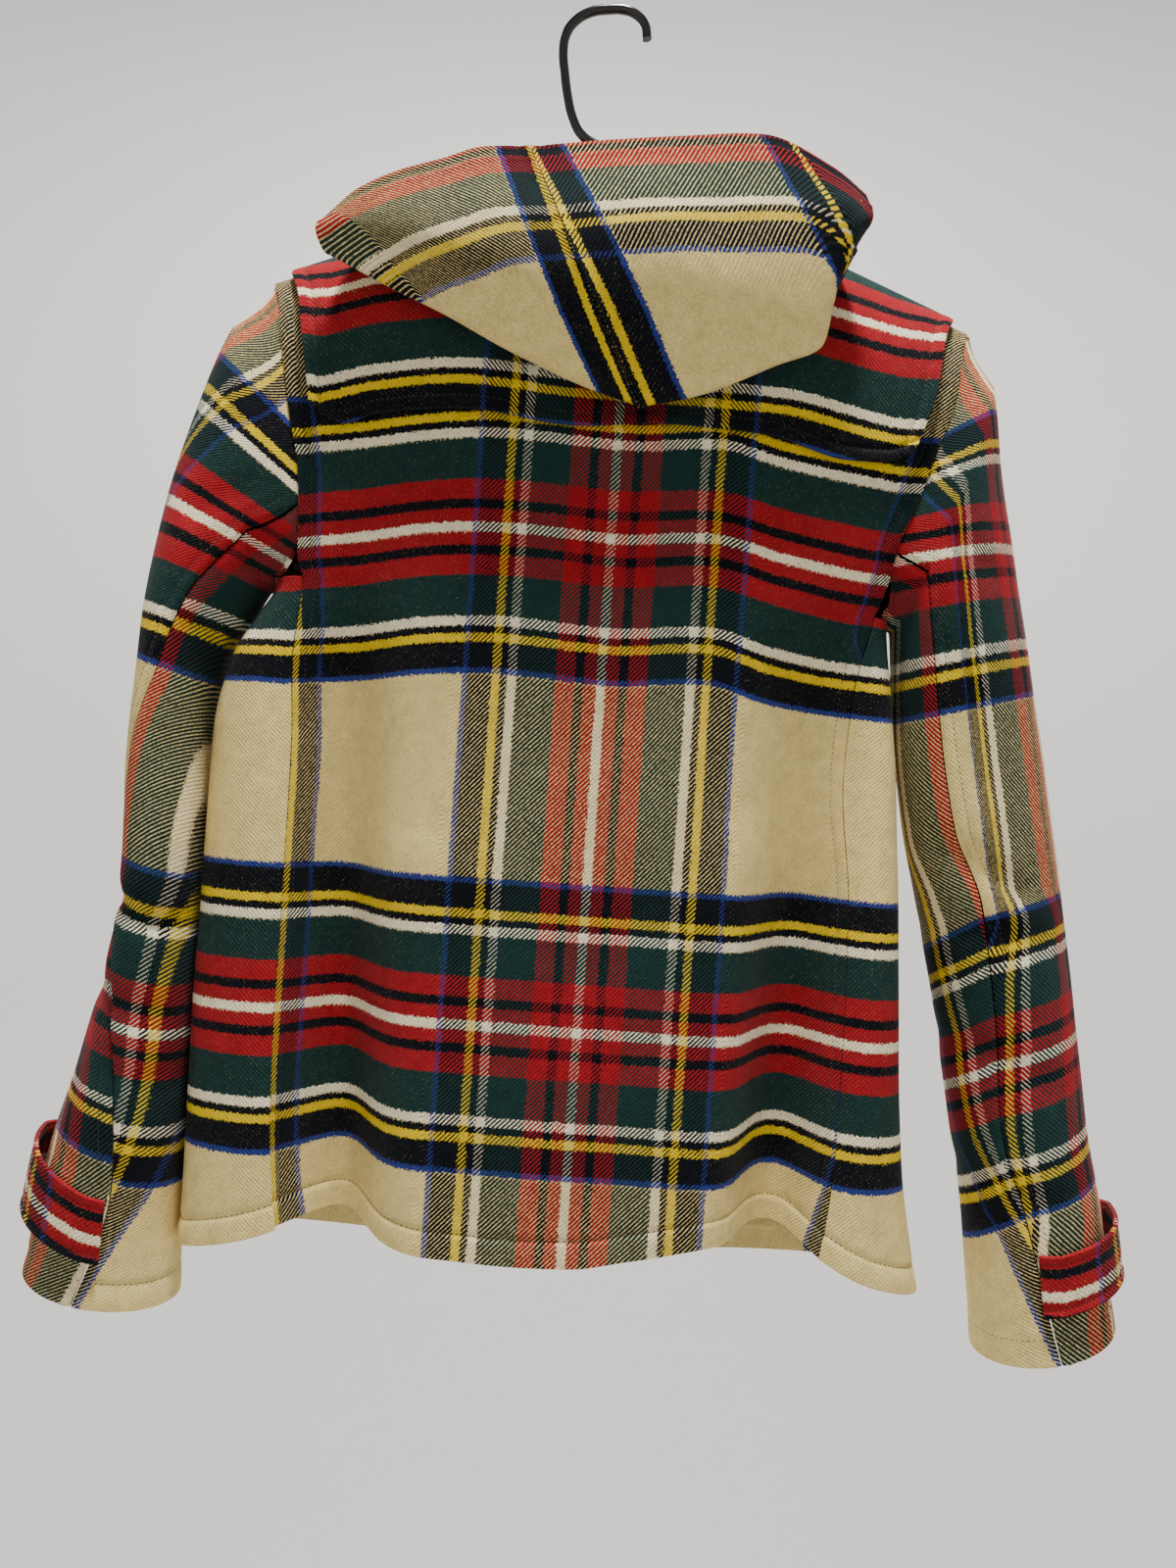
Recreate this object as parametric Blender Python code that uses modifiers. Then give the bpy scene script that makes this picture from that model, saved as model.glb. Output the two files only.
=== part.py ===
"""A short women's duffel coat that hangs on a tubular plastic hanger.

The coat's front faces -Y and its back +Y, and +Z is up. Every size is in millimetres until a mesh is made.
A point of the cloth is given as x, y and its drop below the inside top of the hanger's hook. The coat hangs
a little askew, because the hook sits beside its centre line, so all of it is turned by TILT about the hook.
"""

import math

import bmesh
import bpy
import numpy as np
from mathutils import Matrix, Vector

MM = 0.001
TILT = math.radians(4.0)
HOOK_SHIFT = 20.0

CLOTH = 3.0
SEAM = 0.15
LAY = 0.4
YOKE_LAY = 1.1
ARMHOLE_GAP = 1.8
ARMHOLE_TIP_GAP = 2.4

NECK_HALF = 72.0
NECK_SIDE = 133.0
NECK_BACK = 126.0
NECK_FRONT = 175.0
NECK_TURN = 20.0
SHOULDER_FALL = 0.383
SHOULDER_ROUND = 70.0
ARMPIT = 381.0
SIDE_Y = 5.0
BACK_POWER = 3.6
FRONT_POWER = 4.0
FRONT_OVERLAP = 30.0
OVERLAP_STEP = 3.5
OVERLAP_EASE = 34.0

YOKE_FRONT_BOTTOM = 258.0
YOKE_FRONT_INNER = 46.0

TOGGLE_DROPS = (292.0, 412.0, 532.0)
TOGGLE_X = 8.0
TOGGLE_LENGTH = 48.0
TOGGLE_RADIUS = 6.5
TOGGLE_WAIST = 4.2
CORD_RADIUS = 1.8
PATCH_SIZE = (56.0, 34.0, 1.6)
RIGHT_PATCH_X = -52.0
LEFT_PATCH_X = 80.0

POCKET_TOP = 588.0
POCKET_BOTTOM = 786.0
POCKET_INNER = 88.0
POCKET_BULGE = 9.0

BUTTON_RADIUS = 10.0
BUTTON_THICK = 3.5

HOOK_RADIUS = 3.1
ARM_RADIUS = 4.5
ARM_END = 205.0
ARM_SAG = 4.0
BAR_DROP = 220.0


def table(columns, *rows):
    """A table with named columns, each an array down the rows."""
    return dict(zip(columns.split(), np.array(rows, float).T))


DEPTH = table(
    "drop back front",
    (190, 44, 30),
    (280, 49, 34),
    (380, 52, 36),
    (480, 54, 37),
    (600, 56, 38),
    (800, 58, 40),
)

# A row for each height: half the width, the side-back seam, and the inward fold of the back
BODY_LEFT = table(
    "drop side seam fold_at fold_wide fold_deep",
    (190, 245, 187, 152, 30, 0),
    (250, 232, 187, 152, 30, 2),
    (317, 214, 187, 152, 30, 5),
    (381, 202, 182, 152, 30, 10),
    (409, 216, 183, 152, 30, 14),
    (430, 227, 184, 152, 30, 18),
    (480, 236, 181, 150, 30, 26),
    (560, 237, 180, 148, 29, 35),
    (650, 237, 179, 143, 28, 44),
    (720, 236, 176, 139, 27, 50),
    (800, 235, 167, 136, 26, 55),
)
BODY_RIGHT = table(
    "drop side seam fold_at fold_wide fold_deep",
    (190, 252, 177, 150, 30, 0),
    (250, 236, 177, 150, 30, 2),
    (317, 212, 177, 150, 30, 6),
    (381, 184, 172, 148, 30, 12),
    (430, 190, 163, 146, 30, 22),
    (480, 196, 161, 145, 30, 30),
    (560, 203, 168, 143, 28, 38),
    (650, 209, 170, 141, 27, 46),
    (720, 216, 169, 139, 26, 52),
    (800, 230, 162, 137, 25, 56),
)
ARMHOLE_LEFT = table(
    "drop x", (190, 221), (210, 211), (244, 204), (281, 197), (317, 189), (352, 187), (381, 202)
)
ARMHOLE_RIGHT = table(
    "drop x", (187, 228), (209, 217), (248, 211), (280, 201), (307, 193), (345, 181), (381, 184)
)
BACK_HEM = table(
    "x drop",
    (-230, 799),
    (-198, 791),
    (-164, 779),
    (-135, 770),
    (-99, 770),
    (-52, 779),
    (-11, 787),
    (34, 788),
    (73, 787),
    (102, 783),
    (134, 778),
    (164, 781),
    (202, 791),
    (234, 800),
)
FRONT_HEM = table("x drop", (-230, 799), (-120, 803), (0, 818), (120, 806), (234, 800))

# A row for each ring of a sleeve: its outer edge, its inner edge, half its depth and its middle's y
SLEEVE_COLUMNS = "outer_x outer_drop inner_x inner_drop half_deep mid_y back_seam"
SLEEVE_LEFT = table(
    SLEEVE_COLUMNS,
    (221, 190, 202, 380, 38, 5, 124),
    (242, 222, 210, 390, 43, 7, 116),
    (260, 276, 220, 409, 46, 9, 106),
    (273, 339, 232, 429, 49, 10, 99),
    (282, 413, 238, 461, 50, 11, 94),
    (285, 492, 240, 508, 50, 11, 82),
    (284, 561, 240, 562, 49, 11, 92),
    (291, 624, 240, 630, 48, 10, 102),
    (305, 687, 240, 703, 47, 9, 108),
    (322, 748, 239, 772, 46, 8, 104),
    (332, 824, 238, 840, 45, 8, 100),
)
SLEEVE_RIGHT = table(
    SLEEVE_COLUMNS,
    (228, 187, 184, 380, 38, 5, 126),
    (241, 226, 189, 387, 42, 6, 125),
    (250, 280, 191, 406, 43, 6, 125),
    (262, 336, 193, 433, 43, 6, 124),
    (279, 413, 198, 469, 42, 6, 124),
    (295, 488, 207, 517, 41, 6, 122),
    (308, 552, 217, 557, 40, 6, 110),
    (321, 625, 233, 621, 40, 6, 113),
    (333, 690, 248, 690, 42, 6, 121),
    (345, 744, 260, 748, 44, 7, 112),
    (357, 812, 273, 838, 44, 8, 95),
)
SLEEVE_HEAD_DROP = 0.3
FRONT_SEAM = -125.0
SLEEVE_SEAM_ANGLE = 0.6

# The cuff straps, in rings of the sleeve: their edges at the outside of the arm and at the back seam
STRAP_LEFT = {"upper": (8.85, 9.05), "lower": (9.45, 9.6)}
STRAP_RIGHT = {"upper": (8.95, 9.2), "lower": (9.5, 9.65)}
STRAP_FRONT = -75.0
STRAP_STANDS_OFF = 6.0
STRAP_CLOTH = 2.6
STRAP_LIFT = 0.8

# The hood from its neck seam to the fold at its bottom, a row for each share of the way round the neck
HOOD_UNDER = table(
    "share stand_x stand_y stand_z roll_x roll_y roll_z nape_x nape_y nape_z under_x under_y under_z",
    (0.0, 0, 29, 114, 0, 37, 105, 0, 51, 138, 0, 58, 215),
    (0.2, 42, 22, 115, 44, 32, 107, 46, 50, 142, 42, 58, 208),
    (0.4, 69, 1, 118, 78, 14, 106, 92, 42, 130, 92, 57, 188),
    (0.6, 60, -30, 128, 80, -18, 104, 118, 18, 122, 128, 50, 172),
    (0.8, 26, -39, 124, 50, -35, 86, 112, 0, 108, 152, 46, 164),
    (1.0, 46, -39, 78, 62, -35, 78, 124, -2, 108, 166, 44, 160),
)
HOOD_FRONT_TOP = (28.0, -39.0, 72.0)
HOOD_RIGHT_NARROWS = 0.17
HOOD_SEAM = 0.5
HOOD_SEAM_IN = 2.8
HOOD_SEAM_UP = 4.3

# The side of the folded hood that shows, from its bottom fold up to its free edge
HOOD_OUTER_COLUMNS = "share fold_x fold_y fold_z mid_x mid_y mid_z edge_x edge_y edge_z"
HOOD_LEFT = table(
    HOOD_OUTER_COLUMNS,
    (0.0, -17, 69, 272, 24, 89, 200, 58, 73, 128),
    (0.2, 22, 69, 260, 60, 88, 196, 84, 73, 130),
    (0.4, 62, 68, 244, 96, 84, 190, 108, 72, 138),
    (0.6, 98, 67, 227, 126, 79, 184, 134, 70, 146),
    (0.8, 138, 64, 209, 156, 71, 180, 156, 67, 156),
    (1.0, 174, 58, 190, 182, 60, 179, 176, 57, 168),
)
HOOD_RIGHT = table(
    HOOD_OUTER_COLUMNS,
    (0.0, -17, 69, 272, 24, 89, 200, 58, 73, 128),
    (0.2, -52, 69, 262, -18, 90, 190, 14, 74, 122),
    (0.4, -92, 68, 243, -66, 86, 184, -34, 74, 116),
    (0.6, -121, 67, 228, -108, 80, 172, -78, 72, 111),
    (0.8, -127, 64, 196, -132, 74, 160, -118, 68, 124),
    (1.0, -138, 58, 162, -146, 62, 150, -142, 60, 136),
)

# The hook's middle line in the hanger's plane, from its tip down to where it turns into the arms
HOOK = table(
    "x drop",
    (-6.5, 14),
    (-4.5, 5),
    (1, -1),
    (9, -4),
    (20, -3.5),
    (31, -1),
    (41, 6),
    (46, 15),
    (47, 25),
    (45, 40),
    (42, 55),
    (38, 68),
    (32, 78),
    (22, 84),
    (10, 87),
    (-4, 91),
    (-18, 99),
    (-33, 113),
    (-48, 133),
)

BACKWARD = (0, 1, 0)
FORWARD = (0, -1, 0)

CREAM = (0.74, 0.66, 0.38, 1.0)
RED = (0.42, 0.04, 0.04, 1.0)
GREEN = (0.05, 0.11, 0.09, 1.0)
NAVY = (0.02, 0.03, 0.09, 1.0)
HORN = (0.10, 0.05, 0.03, 1.0)
BLACK = (0.01, 0.01, 0.01, 1.0)


def smooth(keys, values, at):
    """A curve through the rows of a table that never overshoots them, held level beyond its ends."""
    at = np.clip(np.asarray(at, float), keys[0], keys[-1])
    steps = np.diff(keys)
    slopes = np.diff(values) / steps
    tangents = np.empty(len(keys))
    tangents[0], tangents[-1] = slopes[0], slopes[-1]
    tangents[1:-1] = np.where(
        slopes[:-1] * slopes[1:] > 0,
        2 * slopes[:-1] * slopes[1:] / np.where(slopes[:-1] + slopes[1:] == 0, 1, slopes[:-1] + slopes[1:]),
        0,
    )
    low = np.clip(np.searchsorted(keys, at, side="right") - 1, 0, len(steps) - 1)
    t = (at - keys[low]) / steps[low]
    start = (1 + 2 * t) * (1 - t) ** 2 * values[low] + t * t * (3 - 2 * t) * values[low + 1]
    return start + steps[low] * (t * (1 - t) ** 2 * tangents[low] - t * t * (1 - t) * tangents[low + 1])


def looked_up(rows, column, key, at):
    return smooth(rows[key], rows[column], at)


def by_side(x, left, right):
    """The left value where x is positive, and else the right one."""
    return np.where(np.asarray(x) >= 0, left, right)


def body_value(column, x, drop):
    left = looked_up(BODY_LEFT, column, "drop", drop)
    right = looked_up(BODY_RIGHT, column, "drop", drop)
    return by_side(x, left, right)


def armhole_x(side, drop):
    rows = ARMHOLE_LEFT if side > 0 else ARMHOLE_RIGHT
    return side * looked_up(rows, "x", "drop", drop)


def ridge(x):
    """How far the shoulder line lies below the hook."""
    return NECK_SIDE + SHOULDER_FALL * (np.abs(x) - NECK_HALF)


def shoulder_round(x, drop):
    """0 on the shoulder line, and 1 from where the cloth hangs straight."""
    below = np.clip((drop - ridge(x)) / SHOULDER_ROUND, 0, 1)
    return np.sqrt(1 - (1 - below) ** 2)


def bulge(x, drop, power):
    share = np.clip(np.abs(x) / body_value("side", x, drop), 0, 1)
    return (1 - share**power) ** (1 / power)


def back_y(x, drop):
    """The back's outer face, with its fold on each side."""
    rounded = shoulder_round(x, drop)
    full = looked_up(DEPTH, "back", "drop", drop) - SIDE_Y - SEAM
    away = (np.abs(x) - body_value("fold_at", x, drop)) / body_value("fold_wide", x, drop)
    fold = body_value("fold_deep", x, drop) * np.exp(-(away**2)) * bulge(x, drop, 8)
    return SIDE_Y * rounded + SEAM + full * bulge(x, drop, BACK_POWER) * rounded - fold


def front_y(x, drop):
    """The outer face of the left front, which runs on under the right one."""
    rounded = shoulder_round(x, drop)
    full = looked_up(DEPTH, "front", "drop", drop) + SIDE_Y - SEAM
    return SIDE_Y * rounded - SEAM - full * bulge(x, drop, FRONT_POWER) * rounded


def fronts_y(side, x, drop):
    """The outer face of either front. The right one steps out to lie over the left."""
    over = np.clip((x + 2 * OVERLAP_EASE) / OVERLAP_EASE, 0, 1)
    step = OVERLAP_STEP * over * over * (3 - 2 * over)
    return front_y(x, drop) - (step if side < 0 else 0)


def neck_drop(x, bottom):
    """The neckline, from its sides at the shoulders to its bottom at the centre."""
    across = np.clip(np.abs(x) / NECK_HALF, 0, 1)
    return NECK_SIDE + (bottom - NECK_SIDE) * (1 - across**2) ** 0.75


def top_drop(x, neck_bottom):
    """The upper edge of a front or back: the neckline, then the shoulder."""
    return np.where(np.abs(x) < NECK_HALF, neck_drop(x, neck_bottom), ridge(x))


def cloth_point(x, y, drop):
    x, y, drop = np.broadcast_arrays(x, y, drop)
    return np.stack([x, y, -drop], axis=-1).astype(float)


def sampled(surface, across, down):
    """The surface's points on a grid, with the unit normal of each."""
    small = 0.004
    u, v = np.meshgrid(across, down)
    points = surface(u, v)
    along_u = surface(np.minimum(u + small, 1), v) - surface(np.maximum(u - small, 0), v)
    along_v = surface(u, np.minimum(v + small, 1)) - surface(u, np.maximum(v - small, 0))
    normals = np.cross(along_u, along_v)
    normals /= np.linalg.norm(normals, axis=-1, keepdims=True)
    return points, normals


def material(name, colour, roughness=0.9):
    made = bpy.data.materials.new(name)
    made.use_nodes = True
    shader = made.node_tree.nodes["Principled BSDF"]
    shader.inputs["Base Color"].default_value = colour
    shader.inputs["Roughness"].default_value = roughness
    return made


class Coat:
    """The collection and the empty that the pieces hang from."""

    def __init__(self):
        self.collection = bpy.data.collections.new("duffel_coat")
        self.cutters = bpy.data.collections.new("cutters")
        bpy.context.scene.collection.children.link(self.collection)
        bpy.context.scene.collection.children.link(self.cutters)
        self.hang = bpy.data.objects.new("hang", None)
        self.hang.rotation_euler = (0, -TILT, 0)
        shift = HOOK_SHIFT * MM
        self.hang.location = (-shift * math.cos(TILT), 0, -shift * math.sin(TILT))
        self.collection.objects.link(self.hang)

    def add(self, obj, colour, roughness=0.9):
        self.collection.objects.link(obj)
        obj.parent = self.hang
        obj.data.materials.append(material(obj.name + "_material", colour, roughness))
        return obj


def wall(name, surface, columns, rows, outward, lift=0.0, thick=CLOTH, level_top=False):
    """A cloth wall on a surface: its inner face lies lift above it, on the side that outward points to."""
    across = np.linspace(0, 1, columns + 1) if np.isscalar(columns) else columns
    down = np.linspace(0, 1, rows + 1) if np.isscalar(rows) else rows
    points, normals = sampled(surface, across, down)
    middle = normals[len(down) // 2, len(across) // 2]
    normals = normals * np.sign(middle @ np.array(outward))
    if level_top:
        normals[0, :, 1] *= np.clip((NECK_HALF - np.abs(points[0, :, 0])) / NECK_TURN, 0, 1)
        normals[0] /= np.linalg.norm(normals[0], axis=-1, keepdims=True)
    layers = (points + normals * (lift + thick), points + normals * lift)
    mesh = bmesh.new()
    corners = [
        [[mesh.verts.new(Vector(point) * MM) for point in line] for line in layer] for layer in layers
    ]
    outer, inner = corners
    last_row, last_column = len(down) - 1, len(across) - 1
    for r in range(last_row):
        for c in range(last_column):
            mesh.faces.new((outer[r][c], outer[r][c + 1], outer[r + 1][c + 1], outer[r + 1][c]))
            mesh.faces.new((inner[r][c], inner[r + 1][c], inner[r + 1][c + 1], inner[r][c + 1]))
    rim = [(0, c) for c in range(last_column)]
    rim += [(r, last_column) for r in range(last_row)]
    rim += [(last_row, c) for c in range(last_column, 0, -1)]
    rim += [(r, 0) for r in range(last_row, 0, -1)]
    for (r, c), (next_r, next_c) in zip(rim, rim[1:] + rim[:1]):
        mesh.faces.new((outer[r][c], inner[r][c], inner[next_r][next_c], outer[next_r][next_c]))
    bmesh.ops.recalc_face_normals(mesh, faces=mesh.faces)
    data = bpy.data.meshes.new(name)
    mesh.to_mesh(data)
    mesh.free()
    data.shade_smooth()
    data.set_sharp_from_angle(angle=math.radians(40))
    return bpy.data.objects.new(name, data)


def between(start, end, share):
    return start + (end - start) * share


def eased(share):
    """Shares of the way to a side seam, closer together where the cloth turns away."""
    return np.sin(share * math.pi / 2)


def back_surface(u, v):
    """The centre back: shoulders to armpits in the first third of v, then down to the hem."""
    upper = np.clip(v * 3, 0, 1)
    lower = np.clip((v * 3 - 1) / 2, 0, 1)
    x = between(-1.0, 1.0, u)
    drop = between(190.0, ARMPIT, upper) + (790 - ARMPIT) * lower
    for _ in range(3):
        edge_left = np.where(v * 3 < 1, armhole_x(1, drop), body_value("seam", 1, drop))
        edge_right = np.where(v * 3 < 1, armhole_x(-1, drop), -body_value("seam", -1, drop))
        near_armpit = np.clip((drop - 345) / (ARMPIT - 345), 0, 1)
        edge_left = np.where(
            v * 3 < 1, between(edge_left, body_value("seam", 1, drop), near_armpit), edge_left
        )
        edge_right = np.where(
            v * 3 < 1, between(edge_right, -body_value("seam", -1, drop), near_armpit), edge_right
        )
        x = between(edge_right + SEAM, edge_left - SEAM, u)
        top = top_drop(x, NECK_BACK)
        hem = looked_up(BACK_HEM, "drop", "x", x)
        drop = between(top, ARMPIT, upper) + (hem - ARMPIT) * lower
    return cloth_point(x, back_y(x, drop), drop)


def side_back_surface(side):
    """A side-back panel, from its seam with the centre back to the side seam."""

    def surface(u, v):
        drop = between(ARMPIT, 795.0, v)
        for _ in range(3):
            seam = body_value("seam", side, drop) + 2 * SEAM
            x = side * between(seam, body_value("side", side, drop), eased(u))
            drop = between(ARMPIT, looked_up(BACK_HEM, "drop", "x", x), v)
        return cloth_point(x, back_y(x, drop), drop)

    return surface


def front_surface(side):
    """A front, from the edge past the centre line to the armhole and the side seam."""

    def surface(u, v):
        upper = np.clip(v * 3, 0, 1)
        lower = np.clip((v * 3 - 1) / 2, 0, 1)
        drop = between(190.0, ARMPIT, upper) + (800 - ARMPIT) * lower
        for _ in range(3):
            outer = np.where(v * 3 < 1, armhole_x(side, drop), side * body_value("side", side, drop))
            x = between(-side * FRONT_OVERLAP, outer, eased(u))
            top = top_drop(x, NECK_FRONT)
            hem = looked_up(FRONT_HEM, "drop", "x", x)
            drop = between(top, ARMPIT, upper) + (hem - ARMPIT) * lower
        return cloth_point(x, fronts_y(side, x, drop), drop)

    return surface


def split_at(share, before, after):
    """Shares from 0 to 1 with one at the neck's corner and one just before it, and even steps elsewhere."""
    towards = np.linspace(0, share, before + 1)
    return np.concatenate([towards[:-1], [share * 0.9], np.linspace(share, 1, after + 1)])


def add_body(coat):
    shoulder = [0, 0.006, 0.022]
    armhole = np.append(np.linspace(0, 1 / 3, 8)[1:-1], 0.315)
    rows = np.concatenate([shoulder, armhole, np.linspace(1 / 3, 1, 12)])
    coat.add(wall("back", back_surface, 20, rows, BACKWARD, lift=-CLOTH, level_top=True), CREAM)
    for side, name in ((1, "left"), (-1, "right")):
        panel = side_back_surface(side)
        coat.add(wall("side_back_" + name, panel, 6, 11, (side, 0, 0), lift=-CLOTH), RED)
        panel = front_surface(side)
        shoulder_tip = abs(armhole_x(side, 190.0))
        corner = (NECK_HALF + FRONT_OVERLAP) / (shoulder_tip + FRONT_OVERLAP)
        columns = split_at(math.asin(corner) * 2 / math.pi, 3, 9)
        front = wall("front_" + name, panel, columns, rows, FORWARD, lift=-CLOTH, level_top=True)
        coat.add(front, GREEN)


def yoke_edge_x(side, drop):
    """The loose side edge of the shoulder cape, inside the armhole."""
    return armhole_x(side, np.maximum(drop, 190)) - side * 15


YOKE_BACK_BOTTOM = table(
    "x drop",
    (-190, 279),
    (-166, 289),
    (-144, 289),
    (-93, 279),
    (-34, 277),
    (24, 282),
    (83, 276),
    (140, 281),
    (162, 288),
    (184, 276),
)


def yoke_back_surface(u, v):
    drop = between(180.0, 280.0, v)
    for _ in range(3):
        x = between(yoke_edge_x(-1, drop), yoke_edge_x(1, drop), u)
        drop = between(top_drop(x, NECK_BACK), looked_up(YOKE_BACK_BOTTOM, "drop", "x", x), v)
    return cloth_point(x, back_y(x, drop), drop)


def yoke_front_surface(side):
    def surface(u, v):
        drop = between(180.0, YOKE_FRONT_BOTTOM, v)
        for _ in range(3):
            x = between(side * YOKE_FRONT_INNER, yoke_edge_x(side, drop), u)
            drop = between(top_drop(x, NECK_FRONT), YOKE_FRONT_BOTTOM, v)
        return cloth_point(x, fronts_y(side, x, drop), drop)

    return surface


def add_yoke(coat):
    rows = np.array([0, 0.02, 0.07, 0.16, 0.3, 0.45, 0.6, 0.8, 1.0])
    yoke = wall("yoke_back", yoke_back_surface, 20, rows, BACKWARD, lift=YOKE_LAY, level_top=True)
    coat.add(yoke, GREEN)
    for side, name in ((1, "left"), (-1, "right")):
        surface = yoke_front_surface(side)
        edge = abs(yoke_edge_x(side, 190.0))
        columns = split_at((NECK_HALF - YOKE_FRONT_INNER) / (edge - YOKE_FRONT_INNER), 2, 8)
        yoke = wall(
            "yoke_front_" + name, surface, columns, rows, FORWARD, lift=YOKE_LAY, level_top=True
        )
        coat.add(yoke, NAVY)


def sleeve_value(rows, column, ring):
    return smooth(np.arange(len(rows[column]), dtype=float), rows[column], ring)


def sleeve_point(side, ring, angle):
    """A point of a sleeve's outer face. Angle 0 is its outer edge, 90 its back and 180 its inner edge."""
    rows = SLEEVE_LEFT if side > 0 else SLEEVE_RIGHT
    ring, angle = np.broadcast_arrays(np.asarray(ring, float), np.radians(angle))
    value = {column: sleeve_value(rows, column, ring) for column in rows}
    share = (1 - np.cos(angle)) / 2
    x = between(value["outer_x"], value["inner_x"], share)
    drop = between(value["outer_drop"], value["inner_drop"], share)
    y = value["mid_y"] + value["half_deep"] * np.sin(angle)
    first_drop = between(rows["outer_drop"][0], rows["inner_drop"][0], share)
    first_x = side * armhole_x(side, first_drop) + ARMHOLE_GAP + ARMHOLE_TIP_GAP * (1 - share) ** 2
    lowered = np.maximum(first_drop, ridge(first_x) + SLEEVE_HEAD_DROP) - first_drop
    first_drop = first_drop + lowered
    on_back = back_y(side * first_x, first_drop)
    on_front = front_y(side * first_x, first_drop)
    first_y = np.where(np.sin(angle) >= 0, on_back, on_front)
    blend = np.clip(ring, 0, 1)
    x = between(first_x, x, blend)
    y = between(first_y, y, blend)
    drop = drop + lowered * (1 - blend)
    return cloth_point(side * x, y, drop)


def sleeve_surface(side, start, end):
    """Part of a sleeve, between two seams whose angles are functions of the ring."""
    rings = len(SLEEVE_LEFT["outer_x"]) - 1

    def surface(u, v):
        ring = v * rings
        return sleeve_point(side, ring, between(start(ring), end(ring), u))

    return surface


def add_sleeve(coat, side, name):
    rows = SLEEVE_LEFT if side > 0 else SLEEVE_RIGHT

    def back_seam(ring):
        return sleeve_value(rows, "back_seam", ring)

    top = sleeve_surface(
        side,
        lambda ring: FRONT_SEAM + SLEEVE_SEAM_ANGLE + 0 * ring,
        lambda ring: back_seam(ring) - SLEEVE_SEAM_ANGLE,
    )
    under = sleeve_surface(
        side,
        lambda ring: back_seam(ring) + SLEEVE_SEAM_ANGLE,
        lambda ring: 360 + FRONT_SEAM - SLEEVE_SEAM_ANGLE + 0 * ring,
    )
    outside, inside = (side, 0, 0), (-side, 0, 0)
    coat.add(wall("sleeve_top_" + name, top, 12, 16, outside, lift=-CLOTH), CREAM)
    coat.add(wall("sleeve_under_" + name, under, 7, 16, inside, lift=-CLOTH), NAVY)

    strap = STRAP_LEFT if side > 0 else STRAP_RIGHT

    def strap_surface(u, v):
        seam_ring = strap["upper"][1]
        angle = between(STRAP_FRONT, back_seam(seam_ring) - 3, u)
        outside = np.clip(np.abs(angle) / 90, 0, 1)
        upper = between(strap["upper"][0], strap["upper"][1], outside)
        lower = between(strap["lower"][0], strap["lower"][1], outside)
        ring = between(upper, lower, v)
        point = sleeve_point(side, ring, angle)
        stand = STRAP_STANDS_OFF * np.cos(np.radians(angle) * 0.95).clip(0, 1) ** 1.5
        middle = (sleeve_point(side, ring, 0) + sleeve_point(side, ring, 180)) / 2
        away = point - middle
        away /= np.linalg.norm(away, axis=-1, keepdims=True)
        return point + away * stand[..., None]

    strap_wall = wall(
        "cuff_strap_" + name, strap_surface, 12, 3, outside, lift=STRAP_LIFT, thick=STRAP_CLOTH
    )
    coat.add(strap_wall, RED)
    add_button(coat, strap_surface, side, name)


def add_button(coat, strap_surface, side, name):
    """The button near the front end of a cuff strap, flat on the strap's outer face."""
    points, normals = sampled(strap_surface, np.array([0.12, 0.2]), np.array([0.5, 0.6]))
    normal = Vector(normals[0, 0])
    if normal.x * side < 0:
        normal = -normal
    centre = Vector(points[0, 0]) + normal * (STRAP_LIFT + STRAP_CLOTH + 0.6 + BUTTON_THICK / 2)
    mesh = bmesh.new()
    turn = normal.to_track_quat("Z", "Y").to_matrix().to_4x4()
    bmesh.ops.create_cone(
        mesh,
        cap_ends=True,
        segments=24,
        radius1=BUTTON_RADIUS * MM,
        radius2=BUTTON_RADIUS * 0.92 * MM,
        depth=BUTTON_THICK * MM,
        matrix=Matrix.Translation(centre * MM) @ turn,
    )
    data = bpy.data.meshes.new("strap_button_" + name)
    mesh.to_mesh(data)
    mesh.free()
    coat.add(bpy.data.objects.new("strap_button_" + name, data), HORN, 0.4)


def curve_through(points, at):
    """A smooth curve through points that are evenly spaced from 0 to 1."""
    keys = np.linspace(0, 1, len(points))
    at = np.asarray(at, float)
    padded = [2 * points[0] - points[1], *points, 2 * points[-1] - points[-2]]
    low = np.clip((at * (len(points) - 1)).astype(int), 0, len(points) - 2)
    t = ((at - keys[low]) * (len(points) - 1))[..., None]
    stack = np.stack(padded)
    before, here, there, after = (take_rows(stack, low + k) for k in range(4))
    return 0.5 * (
        2 * here
        + (there - before) * t
        + (2 * before - 5 * here + 4 * there - after) * t**2
        + (3 * here - before - 3 * there + after) * t**3
    )


def take_rows(stack, index):
    """Rows of a stack of points, or of a stack of grids where each grid cell has its own index."""
    if stack.ndim == 2:
        return stack[index]
    return np.take_along_axis(stack, index[None, ..., None], axis=0)[0]


def neck_seam(side, share):
    """Where the hood is sewn on, from the centre back to the centre front, and the way up from it."""

    def on_neck(at):
        angle = at * math.pi
        x = side * NECK_HALF * np.sin(angle)
        back = at < 0.5
        drop = np.where(back, neck_drop(x, NECK_BACK), neck_drop(x, NECK_FRONT))
        y = np.where(back, back_y(x, drop), front_y(x, drop))
        return cloth_point(x, y, drop)

    share = np.clip(share, 0, 1)
    point = on_neck(share)
    towards_axis = np.stack(
        [-point[..., 0], -point[..., 1], np.zeros_like(share)], axis=-1
    )
    towards_axis /= np.linalg.norm(towards_axis, axis=-1, keepdims=True)
    return point + towards_axis * HOOD_SEAM_IN + np.array([0, 0, HOOD_SEAM_UP])


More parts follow.
